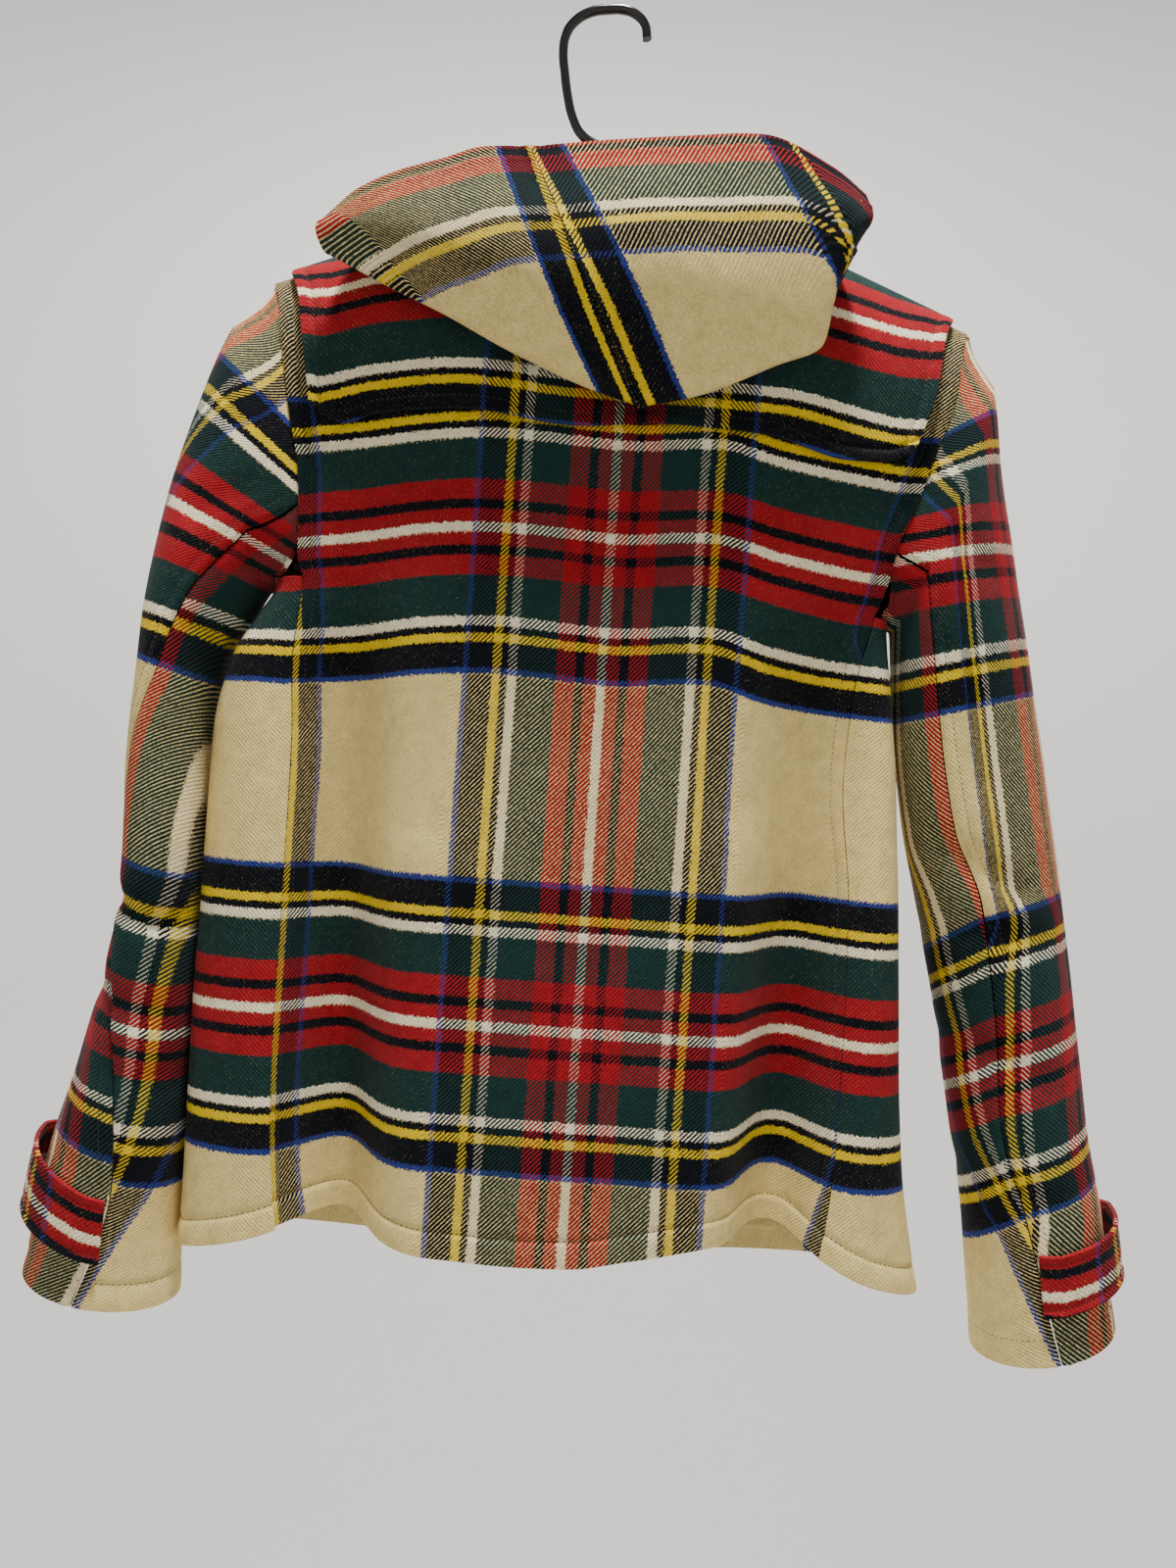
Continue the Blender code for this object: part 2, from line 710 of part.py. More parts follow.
def hood_surface(side):
    """Half of the hood. u runs from its centre seam round to its free edge, v from the neck to the face edge."""
    outer = HOOD_LEFT if side > 0 else HOOD_RIGHT

    def control(rows, name, u, mirrored):
        place = [looked_up(rows, f"{name}_{axis}", "share", u) for axis in "xyz"]
        if mirrored:
            place[0] = place[0] * (1 if side > 0 else -(1 - HOOD_RIGHT_NARROWS * u))
        return cloth_point(*place)

    def surface(u, v):
        seam = neck_seam(side, u / 0.8)
        leaves = np.clip((u - 0.8) / 0.2, 0, 1)[..., None]
        top_x, top_y, top_z = HOOD_FRONT_TOP
        front_top = cloth_point(side * top_x, top_y, top_z)
        controls = [
            seam + (front_top - seam) * leaves,
            control(HOOD_UNDER, "stand", u, True),
            control(HOOD_UNDER, "roll", u, True),
            control(HOOD_UNDER, "nape", u, True),
            control(HOOD_UNDER, "under", u, True),
            control(outer, "fold", u, False),
            control(outer, "mid", u, False),
            control(outer, "edge", u, False),
        ]
        points = curve_through(controls, v)
        points[..., 0] += side * HOOD_SEAM * (1 - u)
        return points

    return surface


def add_hood(coat):
    for side, name in ((1, "left"), (-1, "right")):
        surface = hood_surface(side)
        half = wall("hood_" + name, surface, 12, 21, BACKWARD, lift=-CLOTH / 2)
        coat.add(half, CREAM if side > 0 else RED)


def pocket_surface(side):
    """A patch pocket that bulges off its front, from its inner edge round to the side seam."""

    def surface(u, v):
        drop = between(POCKET_TOP, POCKET_BOTTOM, v)
        outer = body_value("side", side, drop)
        x = side * between(POCKET_INNER, outer, eased(u * 0.985))
        y = front_y(x, drop)
        base = cloth_point(x, y, drop)
        stand = POCKET_BULGE * np.sin(math.pi * u**1.3) ** 0.6 * (1 - v**6) * (0.45 + 0.55 * (1 - v))
        away = np.stack([side * np.abs(x) ** 6 / outer**6, -np.ones_like(x), np.zeros_like(x)], axis=-1)
        away /= np.linalg.norm(away, axis=-1, keepdims=True)
        return base + away * stand[..., None]

    return surface


def add_pockets(coat):
    for side, name in ((1, "left"), (-1, "right")):
        pocket = wall("pocket_" + name, pocket_surface(side), 10, 8, FORWARD, lift=LAY)
        coat.add(pocket, RED)


def tube(name, points, radius, cyclic=False):
    """A round cord or tube along a list of points."""
    data = bpy.data.curves.new(name, "CURVE")
    data.dimensions = "3D"
    data.bevel_depth = radius * MM
    data.bevel_resolution = 2
    data.use_fill_caps = not cyclic
    spline = data.splines.new("POLY")
    spline.points.add(len(points) - 1)
    spline.use_cyclic_u = cyclic
    for place, point in zip(spline.points, points):
        place.co = (*(Vector(point) * MM), 1)
    return bpy.data.objects.new(name, data)


def as_mesh(obj, name):
    """The tube as a closed mesh, which a Boolean can use."""
    bpy.context.scene.collection.objects.link(obj)
    graph = bpy.context.evaluated_depsgraph_get()
    data = bpy.data.meshes.new_from_object(obj.evaluated_get(graph))
    bpy.data.objects.remove(obj)
    mesh = bmesh.new()
    mesh.from_mesh(data)
    bmesh.ops.remove_doubles(mesh, verts=mesh.verts, dist=0.00001)
    bmesh.ops.recalc_face_normals(mesh, faces=mesh.faces)
    mesh.to_mesh(data)
    mesh.free()
    data.name = name
    return bpy.data.objects.new(name, data)


def rounded_patch(name, centre, size, corner=7.0):
    """A flat patch of leather with round corners, facing -Y."""
    width, height, thick = size
    data = bpy.data.curves.new(name, "CURVE")
    data.dimensions = "2D"
    data.fill_mode = "BOTH"
    data.extrude = thick / 2 * MM
    spline = data.splines.new("POLY")
    outline = []
    for turn in range(4):
        along_x = width / 2 - corner if turn in (0, 3) else corner - width / 2
        along_z = height / 2 - corner if turn in (0, 1) else corner - height / 2
        for step in range(4):
            angle = math.radians(90 * turn + 30 * step)
            outline.append((along_x + corner * math.cos(angle), along_z + corner * math.sin(angle)))
    spline.points.add(len(outline) - 1)
    for place, (across, up) in zip(spline.points, outline):
        place.co = (across * MM, up * MM, 0, 1)
    spline.use_cyclic_u = True
    obj = bpy.data.objects.new(name, data)
    obj.rotation_euler = (math.radians(90), 0, 0)
    obj.location = Vector(centre) * MM
    return obj


def toggle_profile(along):
    """The radius of a toggle: full towards its ends, with a waist where the cords go round."""
    share = abs(along) / (TOGGLE_LENGTH / 2)
    body = TOGGLE_RADIUS * (1 - share**4) ** 0.5 * (1 - 0.25 * share)
    waist = (TOGGLE_RADIUS - TOGGLE_WAIST) * math.exp(-((along / 6.5) ** 2))
    return max(body - waist, 1.6)


def add_toggle(coat, number, drop):
    """One fastening: a toggle, its own cord, the loop round it, and the patch of each."""
    on_right = float(front_y(TOGGLE_X, drop)) - OVERLAP_STEP
    toggle_y = on_right - 1.5 - CORD_RADIUS - TOGGLE_RADIUS

    name = f"toggle_{number}"
    data = bpy.data.meshes.new(name)
    mesh = bmesh.new()
    steps = [TOGGLE_LENGTH * (k / 12 - 0.5) for k in range(13)]
    line = [mesh.verts.new((along * MM, toggle_profile(along) * MM, 0)) for along in steps]
    line.insert(0, mesh.verts.new((steps[0] * MM - 0.0005, 0, 0)))
    line.append(mesh.verts.new((steps[-1] * MM + 0.0005, 0, 0)))
    for start, end in zip(line, line[1:]):
        mesh.edges.new((start, end))
    mesh.to_mesh(data)
    mesh.free()
    toggle = bpy.data.objects.new(name, data)
    toggle.location = Vector((TOGGLE_X, toggle_y, -drop)) * MM
    turned = toggle.modifiers.new("turned", "SCREW")
    turned.axis = "X"
    turned.steps = 12
    turned.render_steps = 12
    turned.use_merge_vertices = True
    turned.merge_threshold = 0.00001
    turned.use_normal_calculate = True
    coat.add(toggle, HORN, 0.35)

    ring = TOGGLE_WAIST + CORD_RADIUS + 0.4
    for label, patch_x, at, inner in (
        ("loop", RIGHT_PATCH_X, TOGGLE_X - 2.2, 1),
        ("toggle", LEFT_PATCH_X, TOGGLE_X + 2.2, -1),
    ):
        step = OVERLAP_STEP if patch_x < 0 else 0.0
        face = float(front_y(patch_x, drop)) - step
        patch = rounded_patch(
            f"{label}_patch_{number}", (patch_x, face - 0.9 - PATCH_SIZE[2] / 2, -drop), PATCH_SIZE
        )
        coat.add(patch, HORN, 0.6)
        end_x = patch_x + inner * (PATCH_SIZE[0] / 2 + 0.4)
        low_y = on_right - 0.7 - CORD_RADIUS
        near_x = at - inner * 9
        path = [(end_x, face - 0.9 - CORD_RADIUS, 3.4), (between(end_x, near_x, 0.5), low_y, 5.0)]
        path.append((near_x, low_y - 0.6, ring))
        for turn in range(7):
            angle = math.radians(90 - 30 * turn)
            path.append((at, toggle_y - ring * math.cos(angle), ring * math.sin(angle)))
        path += [(x, y, -z) for x, y, z in reversed(path[:3])]
        cord = tube(
            f"{label}_cord_{number}", [(x, y, z - drop) for x, y, z in path], CORD_RADIUS
        )
        coat.add(cord, BLACK)


def add_hanger(coat):
    """The tubular hanger: the hook runs on into the arms, and a bar joins the arms' ends."""
    under = CLOTH + LAY + ARM_RADIUS
    frame = []
    for x in np.linspace(-ARM_END, ARM_END, 15):
        sag = ARM_SAG * (1 - abs(x) / ARM_END)
        frame.append((x, 0, -(ridge(x) + under + 0.5 + sag)))
    end_drop = -frame[0][2]
    half = (BAR_DROP - end_drop) / 2
    for sign in (1, -1):
        turns = range(1, 6) if sign > 0 else range(5, 0, -1)
        for turn in turns:
            angle = math.radians(180 * turn / 6)
            x = sign * (ARM_END + half * 0.8 * math.sin(angle))
            frame.append((x, 0, -(end_drop + half * (1 - math.cos(angle)))))
        if sign > 0:
            frame += [(x, 0, -BAR_DROP) for x in np.linspace(ARM_END, -ARM_END, 7)]
    shape = as_mesh(tube("hanger_frame", frame, ARM_RADIUS, cyclic=True), "hanger")
    hook = as_mesh(
        tube("hanger_hook", [(x, 0, -z) for x, z in zip(HOOK["x"], HOOK["drop"])], HOOK_RADIUS),
        "hook_cutter",
    )
    coat.cutters.objects.link(hook)
    hook.parent = coat.hang
    hook.hide_render = True
    hook.display_type = "WIRE"
    joined = shape.modifiers.new("hook", "BOOLEAN")
    joined.operation = "UNION"
    joined.object = hook
    coat.add(shape, BLACK, 0.25)


def main():
    for obj in list(bpy.data.objects):
        bpy.data.objects.remove(obj)
    coat = Coat()
    add_hanger(coat)
    add_body(coat)
    add_yoke(coat)
    add_hood(coat)
    for side, name in ((1, "left"), (-1, "right")):
        add_sleeve(coat, side, name)
    add_pockets(coat)
    for number, drop in enumerate(TOGGLE_DROPS, 1):
        add_toggle(coat, number, drop)


main()
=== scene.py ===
# %% [markdown]
# # A tartan duffel coat on its hanger
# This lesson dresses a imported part: a short, thick-wool duffel coat that hangs by its hanger and is seen
# from behind. The part gives the place of every piece, so each new piece is made in the same frame, in
# metres.

import math

import bmesh
import bpy
import numpy as np
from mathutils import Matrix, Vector


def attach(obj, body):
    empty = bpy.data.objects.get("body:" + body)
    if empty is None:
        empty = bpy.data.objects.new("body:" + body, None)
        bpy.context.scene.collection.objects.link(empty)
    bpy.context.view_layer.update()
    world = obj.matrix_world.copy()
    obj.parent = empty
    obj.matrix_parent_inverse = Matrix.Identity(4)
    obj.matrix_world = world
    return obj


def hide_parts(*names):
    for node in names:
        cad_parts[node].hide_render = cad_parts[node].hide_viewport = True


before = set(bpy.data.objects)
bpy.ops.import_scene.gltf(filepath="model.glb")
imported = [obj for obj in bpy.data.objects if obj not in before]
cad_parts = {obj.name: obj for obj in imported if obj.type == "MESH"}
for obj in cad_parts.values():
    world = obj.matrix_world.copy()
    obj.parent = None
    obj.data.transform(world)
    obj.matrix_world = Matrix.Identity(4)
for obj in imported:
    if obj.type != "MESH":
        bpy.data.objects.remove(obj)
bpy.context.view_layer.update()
MM = 0.001


def add_object(name, data):
    made = bpy.data.objects.new(name, data)
    bpy.context.scene.collection.objects.link(made)
    return made


# %% [markdown]
# ## Camera, stage and light
# The photo was taken with a phone from about 0.76 m, level with the middle of the coat's back, so the
# camera is put there with the same wide angle. A coat on a hanger has nothing behind it here but a pale
# studio bowl: a floor that curves up into a wall all round, made by spinning one outline. One lamp hangs
# nearly overhead, so the hood is bright and the back below it falls into shade. The others light the stage
# and soften the shade a little.

# %% The camera
camera = add_object("camera", bpy.data.cameras.new("camera"))
camera.data.lens = 27
camera.data.sensor_width = 36
camera.location = (0.0127, 0.760, -0.497)
camera.rotation_euler = (math.radians(90), 0, math.radians(180))
bpy.context.scene.camera = camera
print("camera", tuple(round(part, 3) for part in camera.location))

# %% A pale studio bowl
BOWL_FLOOR = -2.6
BOWL_RADIUS = 3.2
BOWL_CURVE = 1.8
BOWL_TOP = 3.5


def spun(outline, axis, steps):
    """A closed round form, made by turning an outline once about an axis."""
    mesh = bmesh.new()
    line = [mesh.verts.new(point) for point in outline]
    edges = [mesh.edges.new(pair) for pair in zip(line, line[1:])]
    bmesh.ops.spin(
        mesh, geom=line + edges, cent=(0, 0, 0), axis=axis, angle=math.tau, steps=steps, use_merge=True
    )
    return mesh


def studio_bowl():
    flat = BOWL_RADIUS - BOWL_CURVE
    outline = [(0, 0, BOWL_FLOOR), (flat, 0, BOWL_FLOOR)]
    for step in range(1, 9):
        turn = math.radians(90 * step / 8)
        across = flat + BOWL_CURVE * math.sin(turn)
        outline.append((across, 0, BOWL_FLOOR + BOWL_CURVE * (1 - math.cos(turn))))
    outline.append((BOWL_RADIUS, 0, BOWL_TOP))
    mesh = spun(outline, (0, 0, 1), 64)
    bmesh.ops.recalc_face_normals(mesh, faces=mesh.faces)
    bmesh.ops.reverse_faces(mesh, faces=mesh.faces)
    data = bpy.data.meshes.new("studio_bowl")
    mesh.to_mesh(data)
    mesh.free()
    data.shade_smooth()
    bowl = add_object("studio_bowl", data)
    paint = bpy.data.materials.new("studio_paint")
    paint.use_nodes = True
    shader = paint.node_tree.nodes["Principled BSDF"]
    shader.inputs["Base Color"].default_value = (0.70, 0.69, 0.67, 1)
    shader.inputs["Roughness"].default_value = 0.9
    data.materials.append(paint)


studio_bowl()
print("bowl radius", BOWL_RADIUS)

# %% Soft lights
STAGE_WALL = (0, -3.2, -0.3)
COAT_MIDDLE = (0, 0, -0.45)
LIGHTS = (
    # name, place, size, watts
    ("key", (-0.15, 0.42, 1.7), 0.3, 105),
    ("fill", (0.6, 2.2, 0.3), 1.2, 1.0),
    ("front", (0.8, -2.3, 0.9), 1.6, 40),
    ("backdrop", (0.0, -1.2, 1.5), 1.6, 70),
)


def add_light(name, place, size, watts):
    light = add_object(name, bpy.data.lights.new(name, "AREA"))
    light.data.shape = "DISK"
    light.data.size = size
    light.data.energy = watts
    light.location = place
    aim = Vector(STAGE_WALL if name == "backdrop" else COAT_MIDDLE) - Vector(place)
    light.rotation_euler = aim.to_track_quat("-Z", "Y").to_euler()


for row in LIGHTS:
    add_light(*row)
world = bpy.data.worlds.new("studio")
world.use_nodes = True
world.node_tree.nodes["Background"].inputs["Color"].default_value = (0.95, 0.97, 1.0, 1)
world.node_tree.nodes["Background"].inputs["Strength"].default_value = 0.03
bpy.context.scene.world = world
print(len(LIGHTS), "lights")

# %% [markdown]
# ## Shader maths as expressions
# A material is a graph of nodes, and long graphs are easier to write as sums. This class wraps one socket,
# so that `1 - mask` or `height * 0.4` adds the Math node that does it. Colours go through Mix nodes
# instead.

# %% A small class for sockets
class Wire:
    """A node's output. Sums on it add Math nodes to its material."""

    def __init__(self, material, socket):
        self.material = material
        self.socket = socket

    def maths(self, operation, first, second=0.0):
        return self.material.node("ShaderNodeMath", {"operation": operation}, [first, second])

    def __add__(self, other):
        return self.maths("ADD", self, other)

    def __sub__(self, other):
        return self.maths("SUBTRACT", self, other)

    def __rsub__(self, other):
        return self.maths("SUBTRACT", other, self)

    def __mul__(self, other):
        return self.maths("MULTIPLY", self, other)

    def __truediv__(self, other):
        return self.maths("DIVIDE", self, other)

    __radd__ = __add__
    __rmul__ = __mul__

    def sine(self):
        return self.maths("SINE", self)

    def pingpong(self, size):
        return self.maths("PINGPONG", self, size)

    def between(self, low, high):
        """0 below low, 1 above high, and a ramp from one to the other."""
        settings = {"clamp": True}
        values = {"Value": self, "From Min": low, "From Max": high}
        return self.material.node("ShaderNodeMapRange", settings, values)


class Finish:
    """A material under construction."""

    def __init__(self, name, roughness):
        self.made = bpy.data.materials.new(name)
        self.made.use_nodes = True
        self.shader = self.made.node_tree.nodes["Principled BSDF"]
        self.shader.inputs["Roughness"].default_value = roughness

    def node(self, kind, settings, values, output=0):
        made = self.made.node_tree.nodes.new(kind)
        for name, value in settings.items():
            setattr(made, name, value)
        pairs = values.items() if isinstance(values, dict) else enumerate(values)
        for name, value in pairs:
            self.join(value, made.inputs[name])
        return Wire(self, made.outputs[output])

    def join(self, value, socket):
        if isinstance(value, Wire):
            self.made.node_tree.links.new(value.socket, socket)
        else:
            socket.default_value = value

    def ramp(self, factor, stops, interpolation="LINEAR"):
        ramp = self.node("ShaderNodeValToRGB", {}, [factor])
        band = ramp.socket.node.color_ramp
        band.interpolation = interpolation
        for place, colour in stops[1:-1]:
            band.elements.new(place).color = colour
        for element, (place, colour) in ((band.elements[0], stops[0]), (band.elements[-1], stops[-1])):
            element.position = place
            element.color = colour
        return ramp

    def mix(self, share, first, second, blend="MIX"):
        settings = {"data_type": "RGBA", "blend_type": blend}
        return self.node("ShaderNodeMix", settings, {0: share, 6: first, 7: second}, output=2)

    def noise(self, vector, scale, detail=3.0):
        return self.node("ShaderNodeTexNoise", {}, {"Vector": vector, "Scale": scale, "Detail": detail})

    def place(self):
        return self.node("ShaderNodeTexCoord", {}, {}, output=3)

    def bump(self, height, distance, strength=1.0):
        values = {"Height": height, "Distance": distance, "Strength": strength}
        self.join(self.node("ShaderNodeBump", {}, values), self.shader.inputs["Normal"])

    def colour(self, value):
        self.join(value, self.shader.inputs["Base Color"])


print("Wire and Finish are ready")

# %% [markdown]
# ## The tartan
# The cloth is a dress tartan on a cream ground. A tartan's threads follow one list of colours, the sett,
# which is mirrored about its first and last stripe and is the same along and across. It is woven as a
# twill, so where two colours cross, both show in fine diagonal lines, and where a colour crosses itself it
# is solid. The sett was charted in millimetres. Each piece carries its place on the cloth in a UV
# map called `cloth`, in metres of cloth, so the stripes run along every panel as they were cut. The surface
# is brushed wool: a soft fuzz with hardly any gloss.

# %% The sett, from the middle of a group out to the middle of the cream ground
COLOURS = {
    "cream": (0.76, 0.59, 0.23, 1),
    "line": (0.88, 0.80, 0.58, 1),
    "red": (0.31, 0.010, 0.016, 1),
    "green": (0.010, 0.033, 0.030, 1),
    "black": (0.004, 0.005, 0.008, 1),
    "yellow": (0.72, 0.50, 0.008, 1),
    "blue": (0.022, 0.036, 0.19, 1),
}
SETT = (
    ("line", 2.7),
    ("red", 8.3),
    ("black", 5.5),
    ("red", 12.5),
    ("green", 25.0),
    ("line", 5.5),
    ("black", 5.0),
    ("yellow", 5.0),
    ("black", 15.5),
    ("blue", 4.0),
    ("cream", 60.0),
)
HALF_SETT = sum(width for _, width in SETT)
print("the sett repeats every", 2 * HALF_SETT, "mm")

# %% The wool
TWILL_PITCH = 2.1
# How much of the face the weft covers: dyed over dyed, dyed over cream, and cream over dyed
EVEN_COVER = 0.62
DYED_COVER = 1.22
CREAM_COVER = 0.16
TWILL_SOFTNESS = 0.4
# How far a stripe's edge strays with the fuzz, in mm
FUZZY_EDGE = 5.0


def stripes(finish, along, colours=COLOURS):
    """The colour of the thread at a distance across the cloth, in mm."""
    stops = []
    start = 0.0
    for name, width in SETT:
        stops.append((start / HALF_SETT, colours[name]))
        start += width
    return finish.ramp(along.pingpong(HALF_SETT) / HALF_SETT, stops, "CONSTANT")


def dyed(finish, along):
    """1 on the dyed stripes, 0 on the cream ground, and a half on the white lines."""
    shares_dyed = {name: {"cream": 0.0, "line": 0.5}.get(name, 1.0) for name in COLOURS}
    greys = {name: (share, share, share, 1) for name, share in shares_dyed.items()}
    return stripes(finish, along, greys)


def tartan_wool():
    finish = Finish("tartan_wool", 0.92)
    cloth = finish.node("ShaderNodeUVMap", {"uv_map": "cloth"}, {})
    parts = finish.node("ShaderNodeSeparateXYZ", {}, [cloth])
    across = Wire(finish, parts.socket.node.outputs[0]) / MM
    down = Wire(finish, parts.socket.node.outputs[1]) / MM
    fuzz = finish.noise(finish.place(), 900.0, 2.0)
    mottle = finish.noise(finish.place(), 120.0, 3.0)
    shift = (fuzz - 0.5) * FUZZY_EDGE
    warp = stripes(finish, across + shift)
    weft = stripes(finish, down + shift + 0.7)
    turn = (across + down + (mottle - 0.5) * 0.8) * (math.tau / TWILL_PITCH / math.sqrt(2))
    wave = turn.sine()
    nap = wave + (fuzz - 0.5) * 1.6
    dyed_warp, dyed_weft = dyed(finish, across + shift), dyed(finish, down + shift)
    more = dyed_weft * (1 - dyed_warp) * (DYED_COVER - EVEN_COVER)
    less = dyed_warp * (1 - dyed_weft) * (EVEN_COVER - CREAM_COVER)
    level = 1 - (more - less + EVEN_COVER) * 2
    twill = (nap - level).between(-TWILL_SOFTNESS, TWILL_SOFTNESS)
    woven = finish.mix(twill, warp, weft)
    darker, lighter = (0.74, 0.74, 0.74, 1), (1.22, 1.22, 1.22, 1)
    light = finish.ramp(fuzz * 0.65 + mottle * 0.35, ((0.32, darker), (0.68, lighter)))
    finish.colour(finish.mix(1.0, woven, light, "MULTIPLY"))
    finish.bump(wave * 0.22 + fuzz * 0.9 + mottle * 0.6, 0.0005, 0.8)
    finish.shader.inputs["Sheen Weight"].default_value = 0.04
    finish.shader.inputs["Sheen Roughness"].default_value = 0.55
    finish.shader.inputs["Specular IOR Level"].default_value = 0.06
    return finish.made


WOOL = tartan_wool()
print(WOOL.name, "twill pitch", TWILL_PITCH, "mm")

# %% [markdown]
# ## The coat's own sizes
# The panels hang on the same surfaces as the part's solids, so the sizes and tables that shape them are
# given here again: millimetres, with x from the coat's middle and the drop below the hook. All of it is
# turned by a few degrees about the hook, because the hook sits beside the coat's middle.

# %% Sizes and tables
TILT = math.radians(4.0)
HOOK_SHIFT = 20.0
CLOTH = 3.0
SEAM = 0.15
LAY = 0.4
YOKE_LAY = 1.1
NECK_HALF = 72.0
NECK_SIDE = 133.0
NECK_BACK = 126.0
NECK_FRONT = 175.0
NECK_TURN = 20.0
SHOULDER_FALL = 0.383
SHOULDER_ROUND = 70.0
ARMPIT = 381.0
SIDE_Y = 5.0
BACK_POWER = 3.6
FRONT_POWER = 4.0
FRONT_OVERLAP = 30.0
OVERLAP_STEP = 3.5
OVERLAP_EASE = 34.0
YOKE_FRONT_BOTTOM = 258.0
YOKE_FRONT_INNER = 46.0
POCKET_TOP = 588.0
POCKET_BOTTOM = 786.0
POCKET_INNER = 88.0
POCKET_BULGE = 9.0
SLEEVE_HEAD_DROP = 0.3
FRONT_SEAM = -125.0
SLEEVE_SEAM_ANGLE = 0.6
ARMHOLE_GAP = -1.2
ARMHOLE_TIP_GAP = 0.6


def table(columns, *rows):
    """A table with named columns, each an array down the rows."""
    return dict(zip(columns.split(), np.array(rows, float).T))


DEPTH = table(
    "drop back front",
    (190, 44, 30),
    (280, 49, 34),
    (380, 52, 36),
    (480, 54, 37),
    (600, 56, 38),
    (800, 58, 40),
)
BODY_LEFT = table(
    "drop side seam fold_at fold_wide fold_deep",
    (190, 245, 187, 152, 30, 0),
    (250, 232, 187, 152, 30, 2),
    (317, 214, 187, 152, 30, 5),
    (381, 202, 182, 152, 30, 10),
    (409, 216, 183, 152, 30, 14),
    (430, 227, 184, 152, 30, 18),
    (480, 236, 181, 150, 30, 26),
    (560, 237, 180, 148, 29, 35),
    (650, 237, 179, 143, 28, 44),
    (720, 236, 176, 139, 27, 50),
    (800, 235, 167, 136, 26, 55),
)
BODY_RIGHT = table(
    "drop side seam fold_at fold_wide fold_deep",
    (190, 252, 177, 150, 30, 0),
    (250, 236, 177, 150, 30, 2),
    (317, 212, 177, 150, 30, 6),
    (381, 184, 172, 148, 30, 12),
    (430, 190, 163, 146, 30, 22),
    (480, 196, 161, 145, 30, 30),
    (560, 203, 168, 143, 28, 38),
    (650, 209, 170, 141, 27, 46),
    (720, 216, 169, 139, 26, 52),
    (800, 230, 162, 137, 25, 56),
)
ARMHOLE_LEFT = table(
    "drop x", (190, 221), (210, 211), (244, 204), (281, 197), (317, 189), (352, 187), (381, 202)
)
ARMHOLE_RIGHT = table(
    "drop x", (187, 228), (209, 217), (248, 211), (280, 201), (307, 193), (345, 181), (381, 184)
)
BACK_HEM = table(
    "x drop",
    (-230, 799),
    (-198, 791),
    (-164, 779),
    (-135, 770),
    (-99, 770),
    (-52, 779),
    (-11, 787),
    (34, 788),
    (73, 787),
    (102, 783),
    (134, 778),
    (164, 781),
    (202, 791),
    (234, 800),
)
FRONT_HEM = table("x drop", (-230, 799), (-120, 803), (0, 818), (120, 806), (234, 800))
YOKE_BACK_BOTTOM = table(
    "x drop",
    (-190, 279),
    (-166, 289),
    (-144, 289),
    (-93, 279),
    (-34, 277),
    (24, 282),
    (83, 276),
    (140, 281),
    (162, 288),
    (184, 276),
)
print("armpits at", ARMPIT, "mm below the hook")

# %% Curves through the tables
def smooth(keys, values, at):
    """A curve through the rows of a table that never overshoots them, held level beyond its ends."""
    at = np.clip(np.asarray(at, float), keys[0], keys[-1])
    steps = np.diff(keys)
    slopes = np.diff(values) / steps
    tangents = np.empty(len(keys))
    tangents[0], tangents[-1] = slopes[0], slopes[-1]
    tangents[1:-1] = np.where(
        slopes[:-1] * slopes[1:] > 0,
        2 * slopes[:-1] * slopes[1:] / np.where(slopes[:-1] + slopes[1:] == 0, 1, slopes[:-1] + slopes[1:]),
        0,
    )
    low = np.clip(np.searchsorted(keys, at, side="right") - 1, 0, len(steps) - 1)
    t = (at - keys[low]) / steps[low]
    start = (1 + 2 * t) * (1 - t) ** 2 * values[low] + t * t * (3 - 2 * t) * values[low + 1]
    return start + steps[low] * (t * (1 - t) ** 2 * tangents[low] - t * t * (1 - t) * tangents[low + 1])


def looked_up(rows, column, key, at):
    return smooth(rows[key], rows[column], at)


def by_side(x, left, right):
    """The left value where x is positive, and else the right one."""
    return np.where(np.asarray(x) >= 0, left, right)


def body_value(column, x, drop):
    left = looked_up(BODY_LEFT, column, "drop", drop)
    right = looked_up(BODY_RIGHT, column, "drop", drop)
    return by_side(x, left, right)


def armhole_x(side, drop):
    rows = ARMHOLE_LEFT if side > 0 else ARMHOLE_RIGHT
    return side * looked_up(rows, "x", "drop", drop)


def between(start, end, share):
    return start + (end - start) * share


def eased(share):
    """Shares of the way to a side seam, closer together where the cloth turns away."""
    return np.sin(share * math.pi / 2)


print("half width at the hem", float(looked_up(BODY_LEFT, "side", "drop", 800)), "mm")

# %% [markdown]
# ## The surfaces of the body
# The back falls from the shoulder line, rounds over it, and swings into one deep fold on each side. The
# front hangs flatter. Each function turns a place on a panel, from 0 to 1 across and down, into a point.

# %% The hanging surface
def ridge(x):
    """How far the shoulder line lies below the hook."""
    return NECK_SIDE + SHOULDER_FALL * (np.abs(x) - NECK_HALF)


def shoulder_round(x, drop):
    """0 on the shoulder line, and 1 from where the cloth hangs straight."""
    below = np.clip((drop - ridge(x)) / SHOULDER_ROUND, 0, 1)
    return np.sqrt(1 - (1 - below) ** 2)


def bulge(x, drop, power):
    share = np.clip(np.abs(x) / body_value("side", x, drop), 0, 1)
    return (1 - share**power) ** (1 / power)


def back_y(x, drop):
    """The back's outer face, with its fold on each side."""
    rounded = shoulder_round(x, drop)
    full = looked_up(DEPTH, "back", "drop", drop) - SIDE_Y - SEAM
    away = (np.abs(x) - body_value("fold_at", x, drop)) / body_value("fold_wide", x, drop)
    fold = body_value("fold_deep", x, drop) * np.exp(-(away**2)) * bulge(x, drop, 8)
    return SIDE_Y * rounded + SEAM + full * bulge(x, drop, BACK_POWER) * rounded - fold


